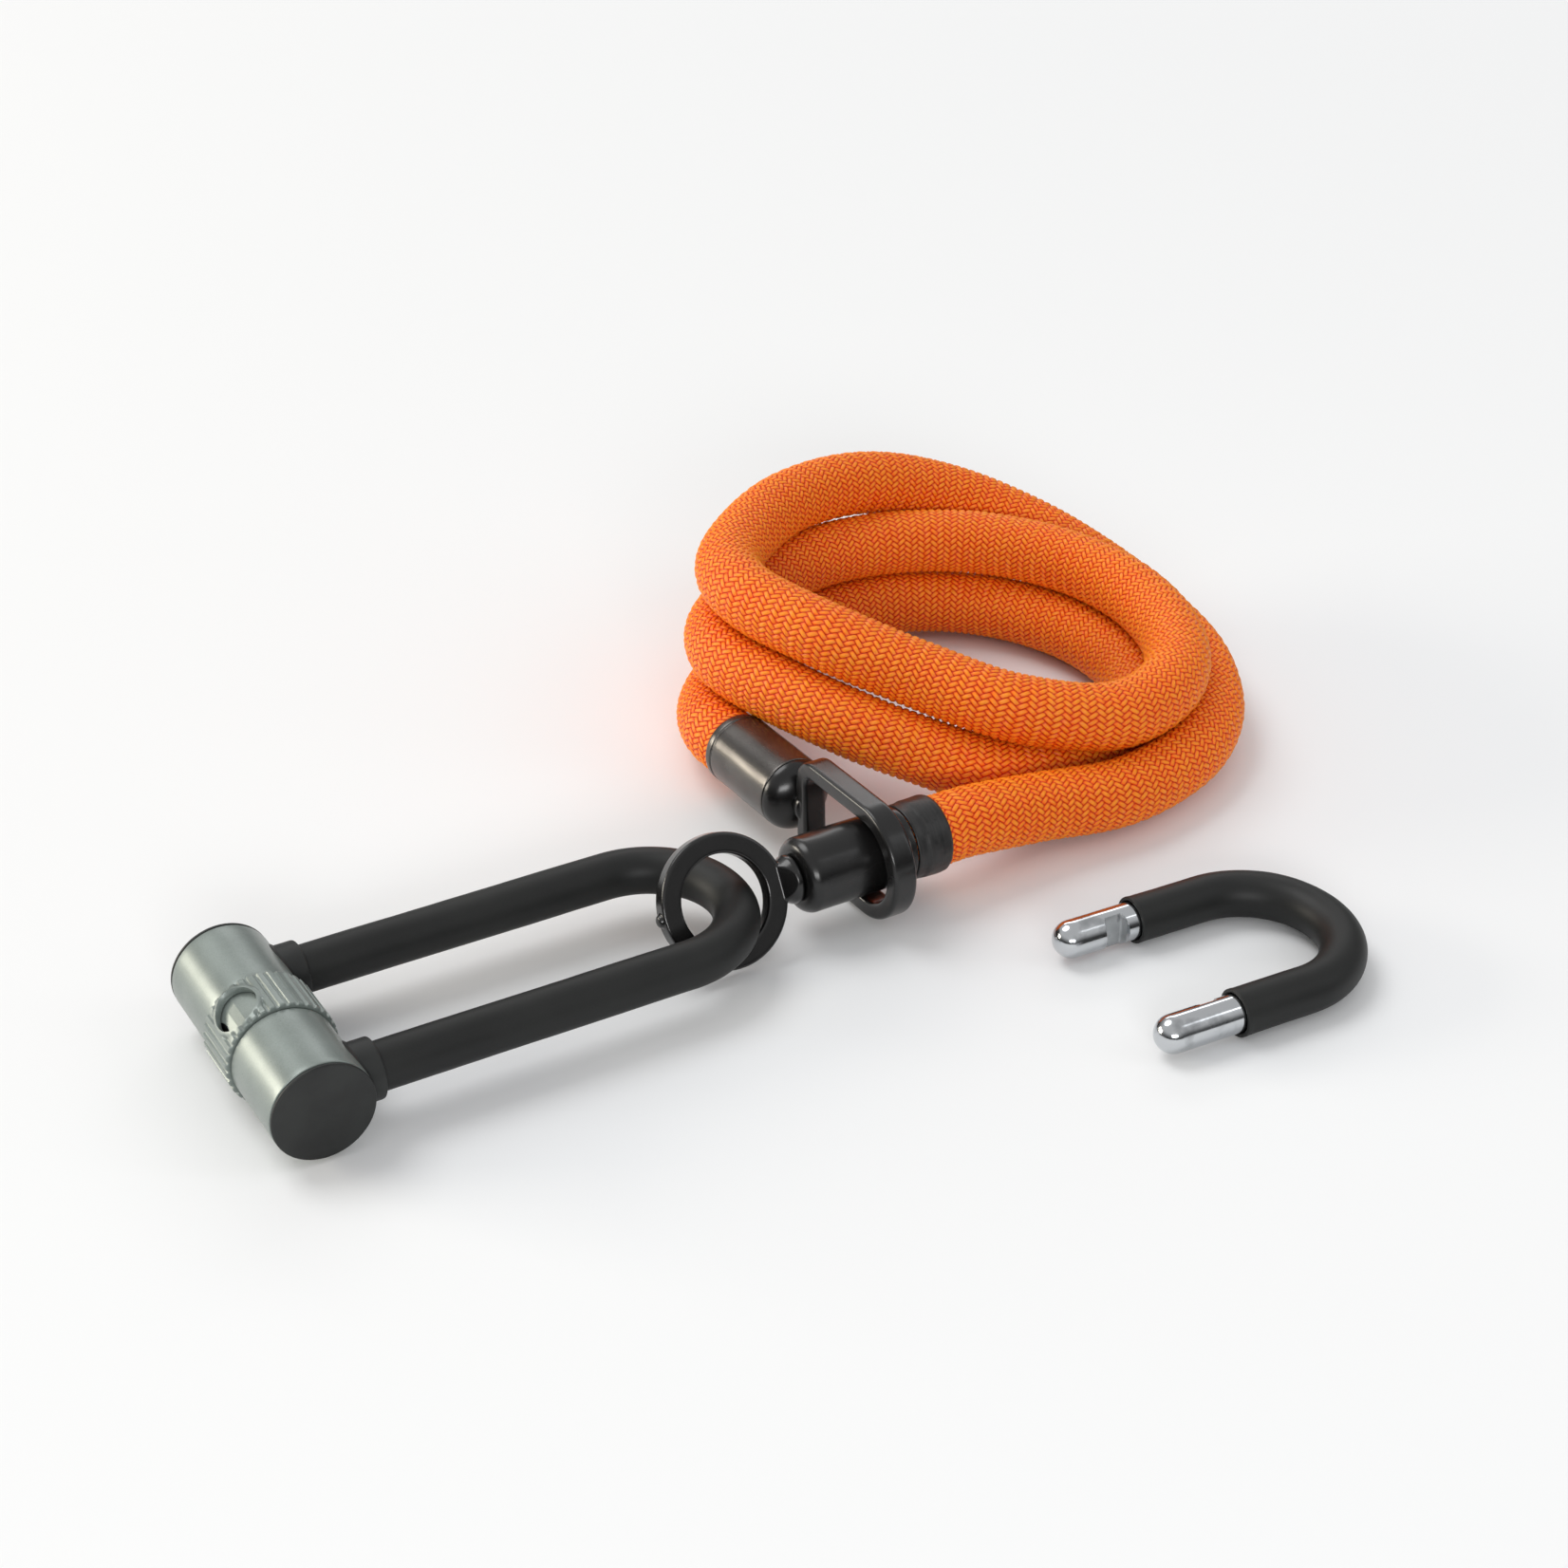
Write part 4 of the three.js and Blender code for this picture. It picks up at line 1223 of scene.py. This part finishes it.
# ---------------------------------------------------------------- ring end
@dataclass
class RingEnd:
    """The barrel, shrink sleeve and ring on the rope's first end."""

    sizes: Sizes
    places: Places
    sides: int = 112
    ring_steps: int = 160
    neck_bore: float = 6.5
    nose_wall: float = 6.0
    cell_bore: float = 9.2
    voxel: float = 0.32
    passes: int = 3

    def ferrule(self) -> Shape:
        """The crimped barrel with its soft shoulder.

        Returns:
            The barrel, about X.
        """
        s = self.sizes
        outer, mouth, nose = s.ferrule_radius, s.ring_mouth, s.nose_station
        bore, seat = s.rope_radius + s.clear, s.ring_mouth + s.rope_seat
        profile = [
            (mouth, bore), (mouth, outer - 0.1), (mouth + 2.2, outer - 0.1), (mouth + 2.8, outer - 0.45),
            (mouth + 3.6, outer), (nose - 3.2, outer), (nose - 0.9, outer - 1.3), (nose, outer - 3.4),
            (nose, self.neck_bore), (nose - self.nose_wall, self.neck_bore),
            (nose - self.nose_wall, self.cell_bore), (seat, self.cell_bore), (seat, bore),
        ]
        return swollen(turned(profile, 1.1, 1.6, self.sides), 0.05, 17, 0.4)

    def shrink(self) -> Shape:
        """The stepped shrink sleeve, drawn down over the rope.

        Returns:
            The sleeve, about X.
        """
        s = self.sizes
        start, end = s.shrink_end, s.ring_mouth - 0.2
        thick = s.ferrule_radius + 0.6
        bore = s.rope_radius + 0.15
        step = (start + end) / 2 + 2
        profile = [
            (start, bore), (start - 0.2, bore + 0.5), (start + 0.5, thick - 0.35), (start + 1.3, thick),
            (step, thick - 0.05), (step + 1.6, thick - 0.5), (end, thick - 0.45), (end, bore),
        ]
        return swollen(turned(profile, 0.7, 0.7, self.sides), 0.13, 8, 1.1)

    def ring(self) -> Shape:
        """The ring, its neck and the small boss opposite, in the ring's own frame.

        Returns:
            The parts, still overlapping.
        """
        s = self.sizes
        middle = (s.ring_radius + s.ring_hole) / 2
        half_wide, half_thick = (s.ring_radius - s.ring_hole) / 2, s.ring_thickness / 2
        section = rounded(oblong(half_wide, half_thick), 0.9, 5, loop=True)
        angles = np.arange(self.ring_steps) * TAU / self.ring_steps
        outward = np.column_stack([np.cos(angles), np.sin(angles), np.zeros(self.ring_steps)])
        body = sweep(outward * middle, section, outward, np.array([0, 0, 1.0]), loop=True)
        root = s.ring_station - middle
        nose = s.nose_station
        profile = rounded(
            [
                (nose - 5.5, 0), (nose - 5.5, 6), (nose + 0.3, 6), (nose + 0.3, s.neck_radius),
                (nose + 2.6, s.neck_radius), (nose + 3.4, 8.0), (root - 2.4, 6.9), (root - 0.4, 6.2),
                (root + 1.4, 5.0), (root + 1.4, 0),
            ],
            1.2,
        )
        back = _turn(90 + s.ring_lean, "X").inverted() @ Matrix.Translation((-s.ring_station, 0, 0))
        neck = revolve(split(np.maximum(profile, [-np.inf, PIN]), 0.6), 64).moved(back)
        taper = [nose + 2.6 - s.ring_station, 2.2 - s.ring_radius]
        limit = np.interp(neck.points[:, 0], taper, [s.neck_radius, half_thick - 0.1])
        neck.points[:, 2] = np.clip(neck.points[:, 2], -limit, limit)
        tip = s.ring_station + s.ring_radius + 1.5
        boss = revolve(rounded([(tip - 5, PIN), (tip - 5, 2.6), (tip - 0.2, 2.1), (tip, PIN)], 0.9), 32)
        return body.joined(neck, boss.moved(back))

    def build(self) -> None:
        """Makes the three visible pieces."""
        s = self.sizes
        place = self.places.ring_end
        placed("barrel_ring_end", self.ferrule(), place, "rope_set", SATIN_BLACK, ("ring_end_ferrule",))
        placed("shrink_sleeve", self.shrink(), place, "rope_set", SHRINK, ("ring_end_shrink_sleeve",))
        spot = place @ Matrix.Translation((s.ring_station, 0, 0)) @ _turn(90 + s.ring_lean, "X")
        ring = placed("ring", self.ring(), spot, "ring_fitting", RING_BLACK, ("ring_eye",), crease=None)
        forge(ring, self.voxel, self.passes)


# ---------------------------------------------------------------- dee end
@dataclass
class DeeEnd:
    """The barrel, domed cap and flat-bar eye on the rope's other end."""

    sizes: Sizes
    places: Places
    sides: int = 112
    dome_steps: int = 18
    cell_bore: float = 9.2
    cap_plug: float = 8.9
    cap_depth: float = 6.5
    corner: float = 7.0
    voxel: float = 0.34
    passes: int = 4

    def ferrule(self) -> Shape:
        """The barrel with a turned groove behind its mouth.

        Returns:
            The barrel, about X.
        """
        s = self.sizes
        outer, mouth, end = s.ferrule_radius, s.dee_mouth, s.dome_base - s.clear
        bore, seat = s.rope_radius + s.clear, s.dee_mouth + s.rope_seat
        profile = [
            (mouth, bore), (mouth, outer - 0.25), (mouth + 0.8, outer + 0.05), (mouth + 3, outer + 0.05),
            (mouth + 3.3, outer - 0.35), (mouth + 3.8, outer - 0.35), (mouth + 4.2, outer),
            (end - 0.3, outer), (end, outer - 0.25), (end, self.cell_bore), (seat, self.cell_bore),
            (seat, bore),
        ]
        return swollen(turned(profile, 0.5, 1.6, self.sides), 0.04, 19, 0.9)

    def cap(self) -> Shape:
        """The domed cap.

        Returns:
            The cap, about X.
        """
        s = self.sizes
        base, edge, bore = s.dome_base, s.ferrule_radius - 0.05, s.dee_shank + s.clear
        last = math.acos(bore / s.ferrule_radius)
        height = s.dome_tip - base
        steps = [last * k / self.dome_steps for k in range(2, self.dome_steps + 1)]
        dome = [(base + height * math.sin(way) / math.sin(last), edge * math.cos(way)) for way in steps]
        deep, plug = base - self.cap_depth, self.cap_plug
        foot = [(deep, bore), (deep, plug), (base, plug), (base, edge - 0.35), (base + 0.35, edge)]
        return revolve(np.array(foot + dome), self.sides, loop=True)

    def eye(self) -> Shape:
        """The flat bar bent to a D, and its shank, in the eye's own frame.

        Returns:
            The parts, still overlapping.
        """
        s = self.sizes
        inset = s.dee_bar / 2
        half, left, corner = s.dee_half_width - inset, s.dee_bar_station + inset, self.corner
        path, outward = [], []
        for centre, start, stop, radius, count in (
            ((s.dee_bow, 0.0), -90, 90, half, 72),
            ((left + corner, half - corner), 90, 180, corner, 16),
            ((left + corner, corner - half), 180, 270, corner, 16),
        ):
            for angle in np.radians(np.linspace(start, stop, count + 1)):
                way = (math.cos(angle), math.sin(angle), 0.0)
                path.append((centre[0] + radius * way[0], centre[1] + radius * way[1], 0.0))
                outward.append(way)
        section = rounded(oblong(inset, s.dee_depth / 2), 1.5, 5, loop=True)
        bar = sweep(np.array(path), section, np.array(outward), np.array([0, 0, 1.0]), loop=True)
        near, root = s.dee_bar_station, s.dome_base - 5
        profile = [
            (root, PIN), (root, s.dee_shank), (near - 1.2, s.dee_shank),
            (near + 0.3, 5.8), (near + 3, 5.8), (near + 3, PIN),
        ]
        return bar.moved(_turn(90, "X")).joined(revolve(rounded(profile, 0.9), 64))

    def build(self) -> None:
        """Makes the three visible pieces."""
        place = self.places.dee_end
        placed("barrel_dee_end", self.ferrule(), place, "rope_set", BARREL_BLACK, ("dee_end_ferrule",))
        placed("domed_cap", self.cap(), place, "rope_set", SATIN_BLACK, ("dee_end_cap",))
        eye = placed("dee", self.eye(), place, "dee_fitting", SATIN_BLACK, ("dee_eye",), crease=None)
        forge(eye, self.voxel, self.passes)


# ---------------------------------------------------------------- shackles
@dataclass
class Shackle:
    """A U of steel with a rubber sleeve, lying in its own XY plane."""

    sizes: Sizes
    name: str
    reach: float
    place: Matrix
    body: str
    sides: int = 56
    notch_rows: int = 30
    bend_rows: int = 90
    bore_rows: int = 70
    lip: float = 0.12
    lip_length: float = 2.2
    edge_softness: float = 1.7
    seed: float = 0.0

    def station(self, along: np.ndarray) -> tuple[np.ndarray, np.ndarray]:
        """Places on the U, measured from the right leg's zero line round to the left's.

        Args:
            along: Distances, in millimetres.

        Returns:
            The points and the directions away from the U's middle, N x 3 each.
        """
        half = self.sizes.leg_spacing / 2
        arc = math.pi * half
        angle = np.clip((along - self.reach) / half, 0, math.pi)
        outward = np.column_stack([np.cos(angle), np.sin(angle), np.zeros(len(along))])
        points = outward * half + np.array([0, self.reach, 0])
        points[:, 1] += np.where(along < self.reach, along - self.reach, 0)
        after = along - self.reach - arc
        points[:, 1] -= np.where(after > 0, after, 0)
        return points, outward

    def skin(self, along: np.ndarray, radius: np.ndarray) -> np.ndarray:
        """Rows of points round the U.

        Args:
            along: One distance per row.
            radius: One radius per row, or per row and column.

        Returns:
            Rows x sides x 3 points.
        """
        centre, outward = self.station(along)
        angles = np.arange(self.sides) * TAU / self.sides
        reach = np.broadcast_to(radius if radius.ndim == 2 else radius[:, None], (len(along), self.sides))
        flat = (reach * np.cos(angles))[..., None] * outward[:, None]
        up = (reach * np.sin(angles))[..., None] * np.array([0, 0, 1.0])
        return centre[:, None] + flat + up

    def whole(self) -> float:
        """The U's length between the two legs' zero lines.

        Returns:
            The length, in millimetres.
        """
        return 2 * self.reach + math.pi * self.sizes.leg_spacing / 2

    def bar(self) -> Shape:
        """The steel, with round tips and a scooped notch inside each leg.

        Returns:
            The bar.
        """
        s = self.sizes
        steel = s.steel_radius
        tip = -s.tip_depth
        turns = np.linspace(0.04, math.pi / 2, 16)
        cap = tip + steel * (1 - np.cos(turns))
        low, high = s.notch_centre - s.notch_length / 2, s.notch_centre + s.notch_length / 2
        leg = np.concatenate([
            np.linspace(tip + steel, low, 8)[1:-1],
            np.linspace(low, high, self.notch_rows),
            np.linspace(high, s.sleeve_mouth + 2, 5)[1:],
        ])
        middle = np.linspace(s.sleeve_mouth + 2, self.whole() - s.sleeve_mouth - 2, self.bend_rows)[1:-1]
        half_a = np.concatenate([cap, leg])
        along = np.concatenate([half_a, middle, self.whole() - half_a[::-1]])
        end = np.concatenate([steel * np.sin(turns), np.full(len(leg), steel)])
        radius = np.concatenate([end, np.full(len(middle), steel), end[::-1]])
        from_end = np.minimum(along, self.whole() - along)
        share = np.clip(np.minimum(from_end - low, high - from_end) / self.edge_softness, 0, 1)
        floor = steel - s.notch_depth * np.sin(share * math.pi / 2) ** 0.8
        facing = -np.cos(np.arange(self.sides) * TAU / self.sides)
        limit = np.where(facing > 0.05, floor[:, None] / np.maximum(facing, 0.05), np.inf)
        return grid(self.skin(along, np.minimum(radius[:, None], limit)), caps=True)

    def sleeve(self) -> Shape:
        """The rubber sleeve with a soft lip at each mouth.

        Returns:
            The sleeve.
        """
        s = self.sizes
        first, outer, inner = s.sleeve_mouth, s.sleeve_radius, s.steel_radius + s.clear
        outline = [
            (first + 1.5, inner), (first, inner + 0.1), (first, outer + self.lip),
            (first + 1.3, outer + self.lip), (first + self.lip_length, outer),
        ]
        edge = rounded(outline, 0.45)
        start = first + self.lip_length
        run = np.linspace(start, self.whole() - start, int(self.whole() / 1.6))[1:-1]
        back = np.linspace(self.whole() - first - 1.5, first + 1.5, self.bore_rows)[1:-1]
        along = np.concatenate([edge[:, 0], run, self.whole() - edge[::-1, 0], back])
        radius = np.concatenate(
            [edge[:, 1], np.full(len(run), outer), edge[::-1, 1], np.full(len(back), inner)]
        )
        points = self.skin(along, radius)
        centre, _ = self.station(along)
        arms = points - centre[:, None]
        flat = points.reshape(-1, 3)
        push = 0.07 * ripple(flat, 46, self.seed) + 0.03 * ripple(flat, 15, self.seed + 1)
        push = push.reshape(arms.shape[:2])
        push[-len(back):] = 0
        arms *= (1 + push / outer)[..., None]
        return grid(centre[:, None] + arms, loop=True)

    def build(self) -> None:
        """Makes the bar and the sleeve, with the notches frosted."""
        s = self.sizes
        name, place, body = self.name, self.place, self.body
        bar = placed(f"{name}_steel", self.bar(), place, body, STEEL, (f"{name}_bar",), crease=32)
        bar.data.materials.append(FROSTED.material())
        low, high = s.notch_centre - s.notch_length / 2, s.notch_centre + s.notch_length / 2
        inner = s.leg_spacing / 2 - s.steel_radius * 0.8
        for polygon in bar.data.polygons:
            x, y, _ = polygon.center / MM
            cut = s.leg_spacing / 2 - abs(x) < s.steel_radius and abs(x) > inner and low < y < high
            across = math.hypot(abs(x) - s.leg_spacing / 2, polygon.center.z / MM)
            if cut and across < s.steel_radius - 0.12 and abs(x) < s.leg_spacing / 2:
                polygon.material_index = 1
        placed(f"{name}_rubber", self.sleeve(), place, body, RUBBER, (f"{name}_sleeve",))


# ---------------------------------------------------------------- lock body
@dataclass
class LockBody:
    """The visible outside of the crossbar: shells, caps, bushes and the keyhole cover."""

    sizes: Sizes
    place: Matrix
    sides: int = 128
    lip_steps: int = 120
    rib_steps: int = 12
    hole_sides: int = 72
    collar_sides: int = 96
    window_sides: int = 88

    def shell(self) -> Shape:
        """The outer shell on the +X side, with the hole for its bush.

        Returns:
            The shell.
        """
        s = self.sizes
        first, last = s.cover_half + 0.45, s.body_half - s.cap_flange - 0.35
        bore, outer = s.body_radius - s.body_wall, s.body_radius
        profile = [(first, bore), (first, outer), (last, outer), (last, bore)]
        tube = turned(profile, 0.45, 2.5, self.sides)
        hole, far = s.bush_radius + 0.25, s.bush_top + 3
        tool = revolve(np.array([(0, PIN), (0, hole), (far, hole), (far, PIN)]), self.hole_sides)
        return carved(tube, tool.moved(self.leg()))

    def leg(self) -> Matrix:
        """Where the +X side's leg enters, with X along the leg.

        Returns:
            The place, in the crossbar's frame.
        """
        return Matrix.Translation((self.sizes.leg_spacing / 2, 0, 0)) @ _turn(90, "Z")

    def cap(self) -> Shape:
        """The +X end cap: a soft-edged disc, very slightly dished.

        Returns:
            The cap.
        """
        s = self.sizes
        core, flange, end = s.core_half + s.clear, s.body_half - s.cap_flange, s.body_half
        plug, outer = s.body_radius - s.body_wall - 2 * s.clear, s.body_radius
        profile = [
            (core, PIN), (core, plug), (flange, plug), (flange, outer - 0.35), (flange + 0.3, outer - 0.05),
            (end - 0.1, outer - 0.1), (end + 0.05, outer - 0.9), (end - 0.1, outer * 0.5), (end - 0.15, PIN),
        ]
        return revolve(split(rounded(profile, 0.45), 2.2), self.sides)

    def bush(self) -> Shape:
        """The +X side's collar, with a saddle lip where it leaves the shell.

        Returns:
            The collar.
        """
        s = self.sizes
        leg, sleeve, outer = s.steel_radius + 0.4, s.sleeve_radius + s.clear, s.bush_radius
        step = s.sleeve_mouth - s.clear
        profile = [
            (12, leg), (12, outer - 0.2), (s.bush_top - 0.1, outer - 0.2), (s.bush_top + 0.1, outer - 1.2),
            (s.bush_top, sleeve + 0.2), (step, sleeve), (step, leg),
        ]
        collar = turned(profile, 0.9, 1.2, self.collar_sides, 5)
        angles = np.arange(self.lip_steps) * TAU / self.lip_steps
        section = [(-0.9, -1.0), (0.75, -1.0), (0.75, -0.1), (-0.2, 0.55), (-0.9, 1.1)]
        rows = []
        for across, up in rounded(section, 0.5, loop=True):
            reach = outer + across
            x, z = reach * np.cos(angles), reach * np.sin(angles)
            y = np.sqrt((s.body_radius + 0.1 + up) ** 2 - z**2)
            rows.append(np.column_stack([x + s.leg_spacing / 2, y, z]))
        lip = grid(np.array(rows), loop=True)
        return collar.moved(self.leg()).joined(lip)

    def keyhole_cover(self) -> Shape:
        """The ribbed ring, with a round window that has a smooth raised rim.

        Returns:
            The ring.
        """
        s = self.sizes
        bore, half = s.collar_radius + s.clear, s.cover_half
        columns = self.rib_steps * s.cover_ribs
        turn = np.arange(columns) * TAU / columns
        phase = (np.arange(columns) % self.rib_steps) / self.rib_steps
        groove = np.clip((np.cos((phase - 0.5) * TAU) + 0.72) / 0.5, 0, 1)
        groove = groove * groove * (3 - 2 * groove)
        edge = [(-half, bore), (-half, s.cover_radius), (half, s.cover_radius), (half, bore)]
        rows = split(rounded(edge, 0.7, 5), 0.7)
        where = math.pi - math.radians(s.window_angle)
        points = np.empty((len(rows), columns, 3))
        for index, (station, radius) in enumerate(rows):
            span = s.cover_radius * np.abs((turn - where + math.pi) % TAU - math.pi)
            from_window = np.hypot(span, station)
            plain = np.clip((from_window - s.window_radius - 0.9) / 0.8, 0, 1)
            share = np.clip((radius - s.cover_radius + 1.2) / 1.2, 0, 1)
            depth = (1 - groove) * (s.cover_groove + 0.25) * share * plain
            rim = 0.35 * share * (1 - plain)
            reach = np.full(columns, radius) - depth + rim
            points[index, :, 0] = station
            points[index, :, 1:] = np.column_stack([reach * np.cos(turn), reach * np.sin(turn)])
        ring = grid(points, loop=True)
        hole, brim, far = s.window_radius - 0.4, s.window_radius + 1.0, s.cover_radius + 7.5
        profile = [
            (0, PIN), (0, hole), (s.cover_radius - 1.1, hole),
            (s.cover_radius + 1.4, brim), (far, brim), (far, PIN),
        ]
        tool = revolve(rounded(profile, 0.9), self.window_sides)
        way = _turn(math.degrees(where), "X") @ _turn(90, "Z")
        return carved(ring, tool.moved(way))

    def build(self) -> None:
        """Makes the seven visible pieces."""
        place, other = self.place, _turn(180, "Z") @ _turn(180, "X")
        pieces = (
            ("shell", self.shell(), SHELL, "body_cover", 40),
            ("end_disc", self.cap(), PLASTIC, "end_cap", 38),
            ("leg_collar", self.bush(), PLASTIC, "shackle_bush", 38),
        )
        for side, way in (("right", Matrix.Identity(4)), ("left", other)):
            for name, shape, finish, node, crease in pieces:
                moved, nodes = shape.moved(way), (f"{node}_{side}",)
                placed(f"{name}_{side}", moved, place, "lock_body", finish, nodes, crease)
        ribs, body = self.keyhole_cover(), "keyhole_cover"
        placed("ribbed_cover", ribs, place, body, SHELL, ("keyhole_cover",), crease=50)


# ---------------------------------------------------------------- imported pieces
INNER_FINISHES = {finish.name: finish for finish in (CORE_YARN, DARK_STEEL, STEEL, BRASS)}
BRIGHT_NODES = (
    "bolt_right", "bolt_left", "sidebar",
    "cylinder_retaining_pin", "cover_detent_ball", "cover_detent_spring",
)


@dataclass
class InnerWorks:
    """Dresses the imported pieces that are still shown."""

    own: dict[str, Finish] = field(default_factory=lambda: {"body_core": SHELL})
    crease: float = 32.0

    def slot_of(self, name: str) -> str:
        """The record's material slot of a node.

        Args:
            name: The node's name.

        Returns:
            The slot's name.
        """
        if name == "rope_core":
            return "core_yarn"
        if name == "cylinder_plug" or name.startswith("detainer_disc"):
            return "lock_brass"
        return "bright_steel" if name in BRIGHT_NODES else "dark_steel"

    def build(self) -> None:
        """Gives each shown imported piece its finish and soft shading."""
        for name, obj in sorted(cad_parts.items()):
            if obj.hide_render:
                continue
            slot = self.slot_of(name)
            finish = self.own.get(name, INNER_FINISHES[slot])
            obj.data.materials.clear()
            obj.data.materials.append(finish.material())
            obj.data.polygons.foreach_set("use_smooth", [True] * len(obj.data.polygons))
            obj.data.set_sharp_from_angle(angle=math.radians(self.crease))
            LOG.info("dressed %s as %s", name, finish.name)


# ---------------------------------------------------------------- camera, light and floor
@dataclass
class Studio:
    """The camera, the pale floor and the soft light."""

    target: Vector
    elevation: float = 31.3
    distance: float = 1.068
    lens: float = 66.88
    floor_half: float = 6.0
    floor_drop: float = 0.3
    floor_colour: Colour = paint(236, 237, 238)
    key_strength: float = 1.0
    key_spread: float = 32.0
    key_way: tuple[float, float, float] = (-0.55, 0.35, 1.0)
    sky_strength: float = 0.5

    def camera(self) -> None:
        """Places the camera."""
        data = bpy.data.cameras.new("camera")
        data.lens = self.lens
        data.sensor_width = 36.0
        data.dof.use_dof = False
        obj = added("camera", data)
        angle = math.radians(self.elevation)
        back = Vector((0, -math.cos(angle), math.sin(angle)))
        obj.location = self.target + back * self.distance
        obj.rotation_euler = (math.pi / 2 - angle, 0, 0)
        bpy.context.scene.camera = obj

    def floor(self) -> None:
        """Lays a plain pale floor."""
        half = self.floor_half / MM
        points = np.array([(x, y, 0.0) for x, y in oblong(half, half)])
        mesh = to_mesh("floor", Shape(points, [(0, 1, 2, 3)]), tidy=False)
        material = bpy.data.materials.new("floor_paper")
        material.use_nodes = True
        shader = material.node_tree.nodes["Principled BSDF"]
        shader.inputs["Base Color"].default_value = (*self.floor_colour, 1)
        shader.inputs["Roughness"].default_value = 0.9
        shader.inputs["Specular IOR Level"].default_value = 0.1
        mesh.materials.append(material)
        obj = added("floor", mesh)
        obj.location = (0, 0, -self.floor_drop * MM)

    def lamps(self) -> None:
        """Hangs the lamps: a broad soft key, panels behind and in front, and a strip on each side."""
        sun = bpy.data.lights.new("key", "SUN")
        sun.energy = self.key_strength
        sun.angle = math.radians(self.key_spread)
        key = added("key", sun)
        key.rotation_euler = Vector(self.key_way).to_track_quat("Z", "Y").to_euler()
        panels = (
            ("strip_left", (-2.6, 0.35, 0.62), (1.4, 0.7), 38.0, (1.0, 0.93, 0.8)),
            ("panel_back", (0.2, 2.7, 1.6), (2.6, 0.5), 10.0, (1.0, 1.0, 1.0)),
            ("panel_front", (0.2, -2.8, 1.1), (1.6, 0.6), 32.0, (1.0, 1.0, 1.0)),
            ("strip_right", (2.1, -0.3, 1.3), (0.35, 1.7), 4.0, (0.96, 0.98, 1.0)),
        )
        for name, spot, size, power, colour in panels:
            light = bpy.data.lights.new(name, "AREA")
            light.shape = "RECTANGLE"
            light.size, light.size_y = size
            light.energy = power
            light.color = colour
            obj = added(name, light)
            obj.location = spot
            obj.rotation_euler = (self.target - Vector(spot)).to_track_quat("-Z", "Y").to_euler()

    def sky(self) -> None:
        """Lights the scene from all round, paler where the camera sees it."""
        world = bpy.data.worlds.new("studio")
        world.use_nodes = True
        bpy.context.scene.world = world
        tree = world.node_tree
        n = Nodes(tree)
        background = tree.nodes["Background"]
        path = n.add("LightPath")
        parts = n.add("SeparateXYZ")
        n.feed(parts.inputs[0], n.add("TexCoord").outputs["Generated"])
        up = parts.outputs[2]
        room = n.mix(n.ramp(up, 0.08, 0.62), (0.1, 0.1, 0.1, 1), (1.25, 1.25, 1.25, 1))
        n.feed(background.inputs["Color"], n.mix(path.outputs["Is Camera Ray"], room, (0.89, 0.89, 0.89, 1)))
        strength = n.mix(path.outputs["Is Camera Ray"], self.sky_strength, 1.0, "FLOAT")
        n.feed(background.inputs["Strength"], strength)

    def build(self) -> None:
        """Makes the floor, the lamps and the sky."""
        self.floor()
        self.lamps()
        self.sky()
        bpy.context.scene.view_settings.view_transform = "Standard"


def main() -> None:
    """Builds the scene in order and logs each piece."""
    logging.basicConfig(level=logging.INFO, format="%(message)s")
    sizes, places = SIZES, Places(SIZES)
    target = Vector((places.shift.x, places.shift.y, 0)) * MM
    studio = Studio(target)
    studio.camera()
    RopeBuilder(sizes, places).build()
    RingEnd(sizes, places).build()
    DeeEnd(sizes, places).build()
    Shackle(sizes, "long_shackle", sizes.long_reach, places.lock, "long_shackle").build()
    Shackle(sizes, "spare_shackle", sizes.spare_reach, places.spare, "spare_shackle", seed=2.1).build()
    LockBody(sizes, places.lock).build()
    InnerWorks().build()
    studio.build()


if __name__ == "__main__":
    main()
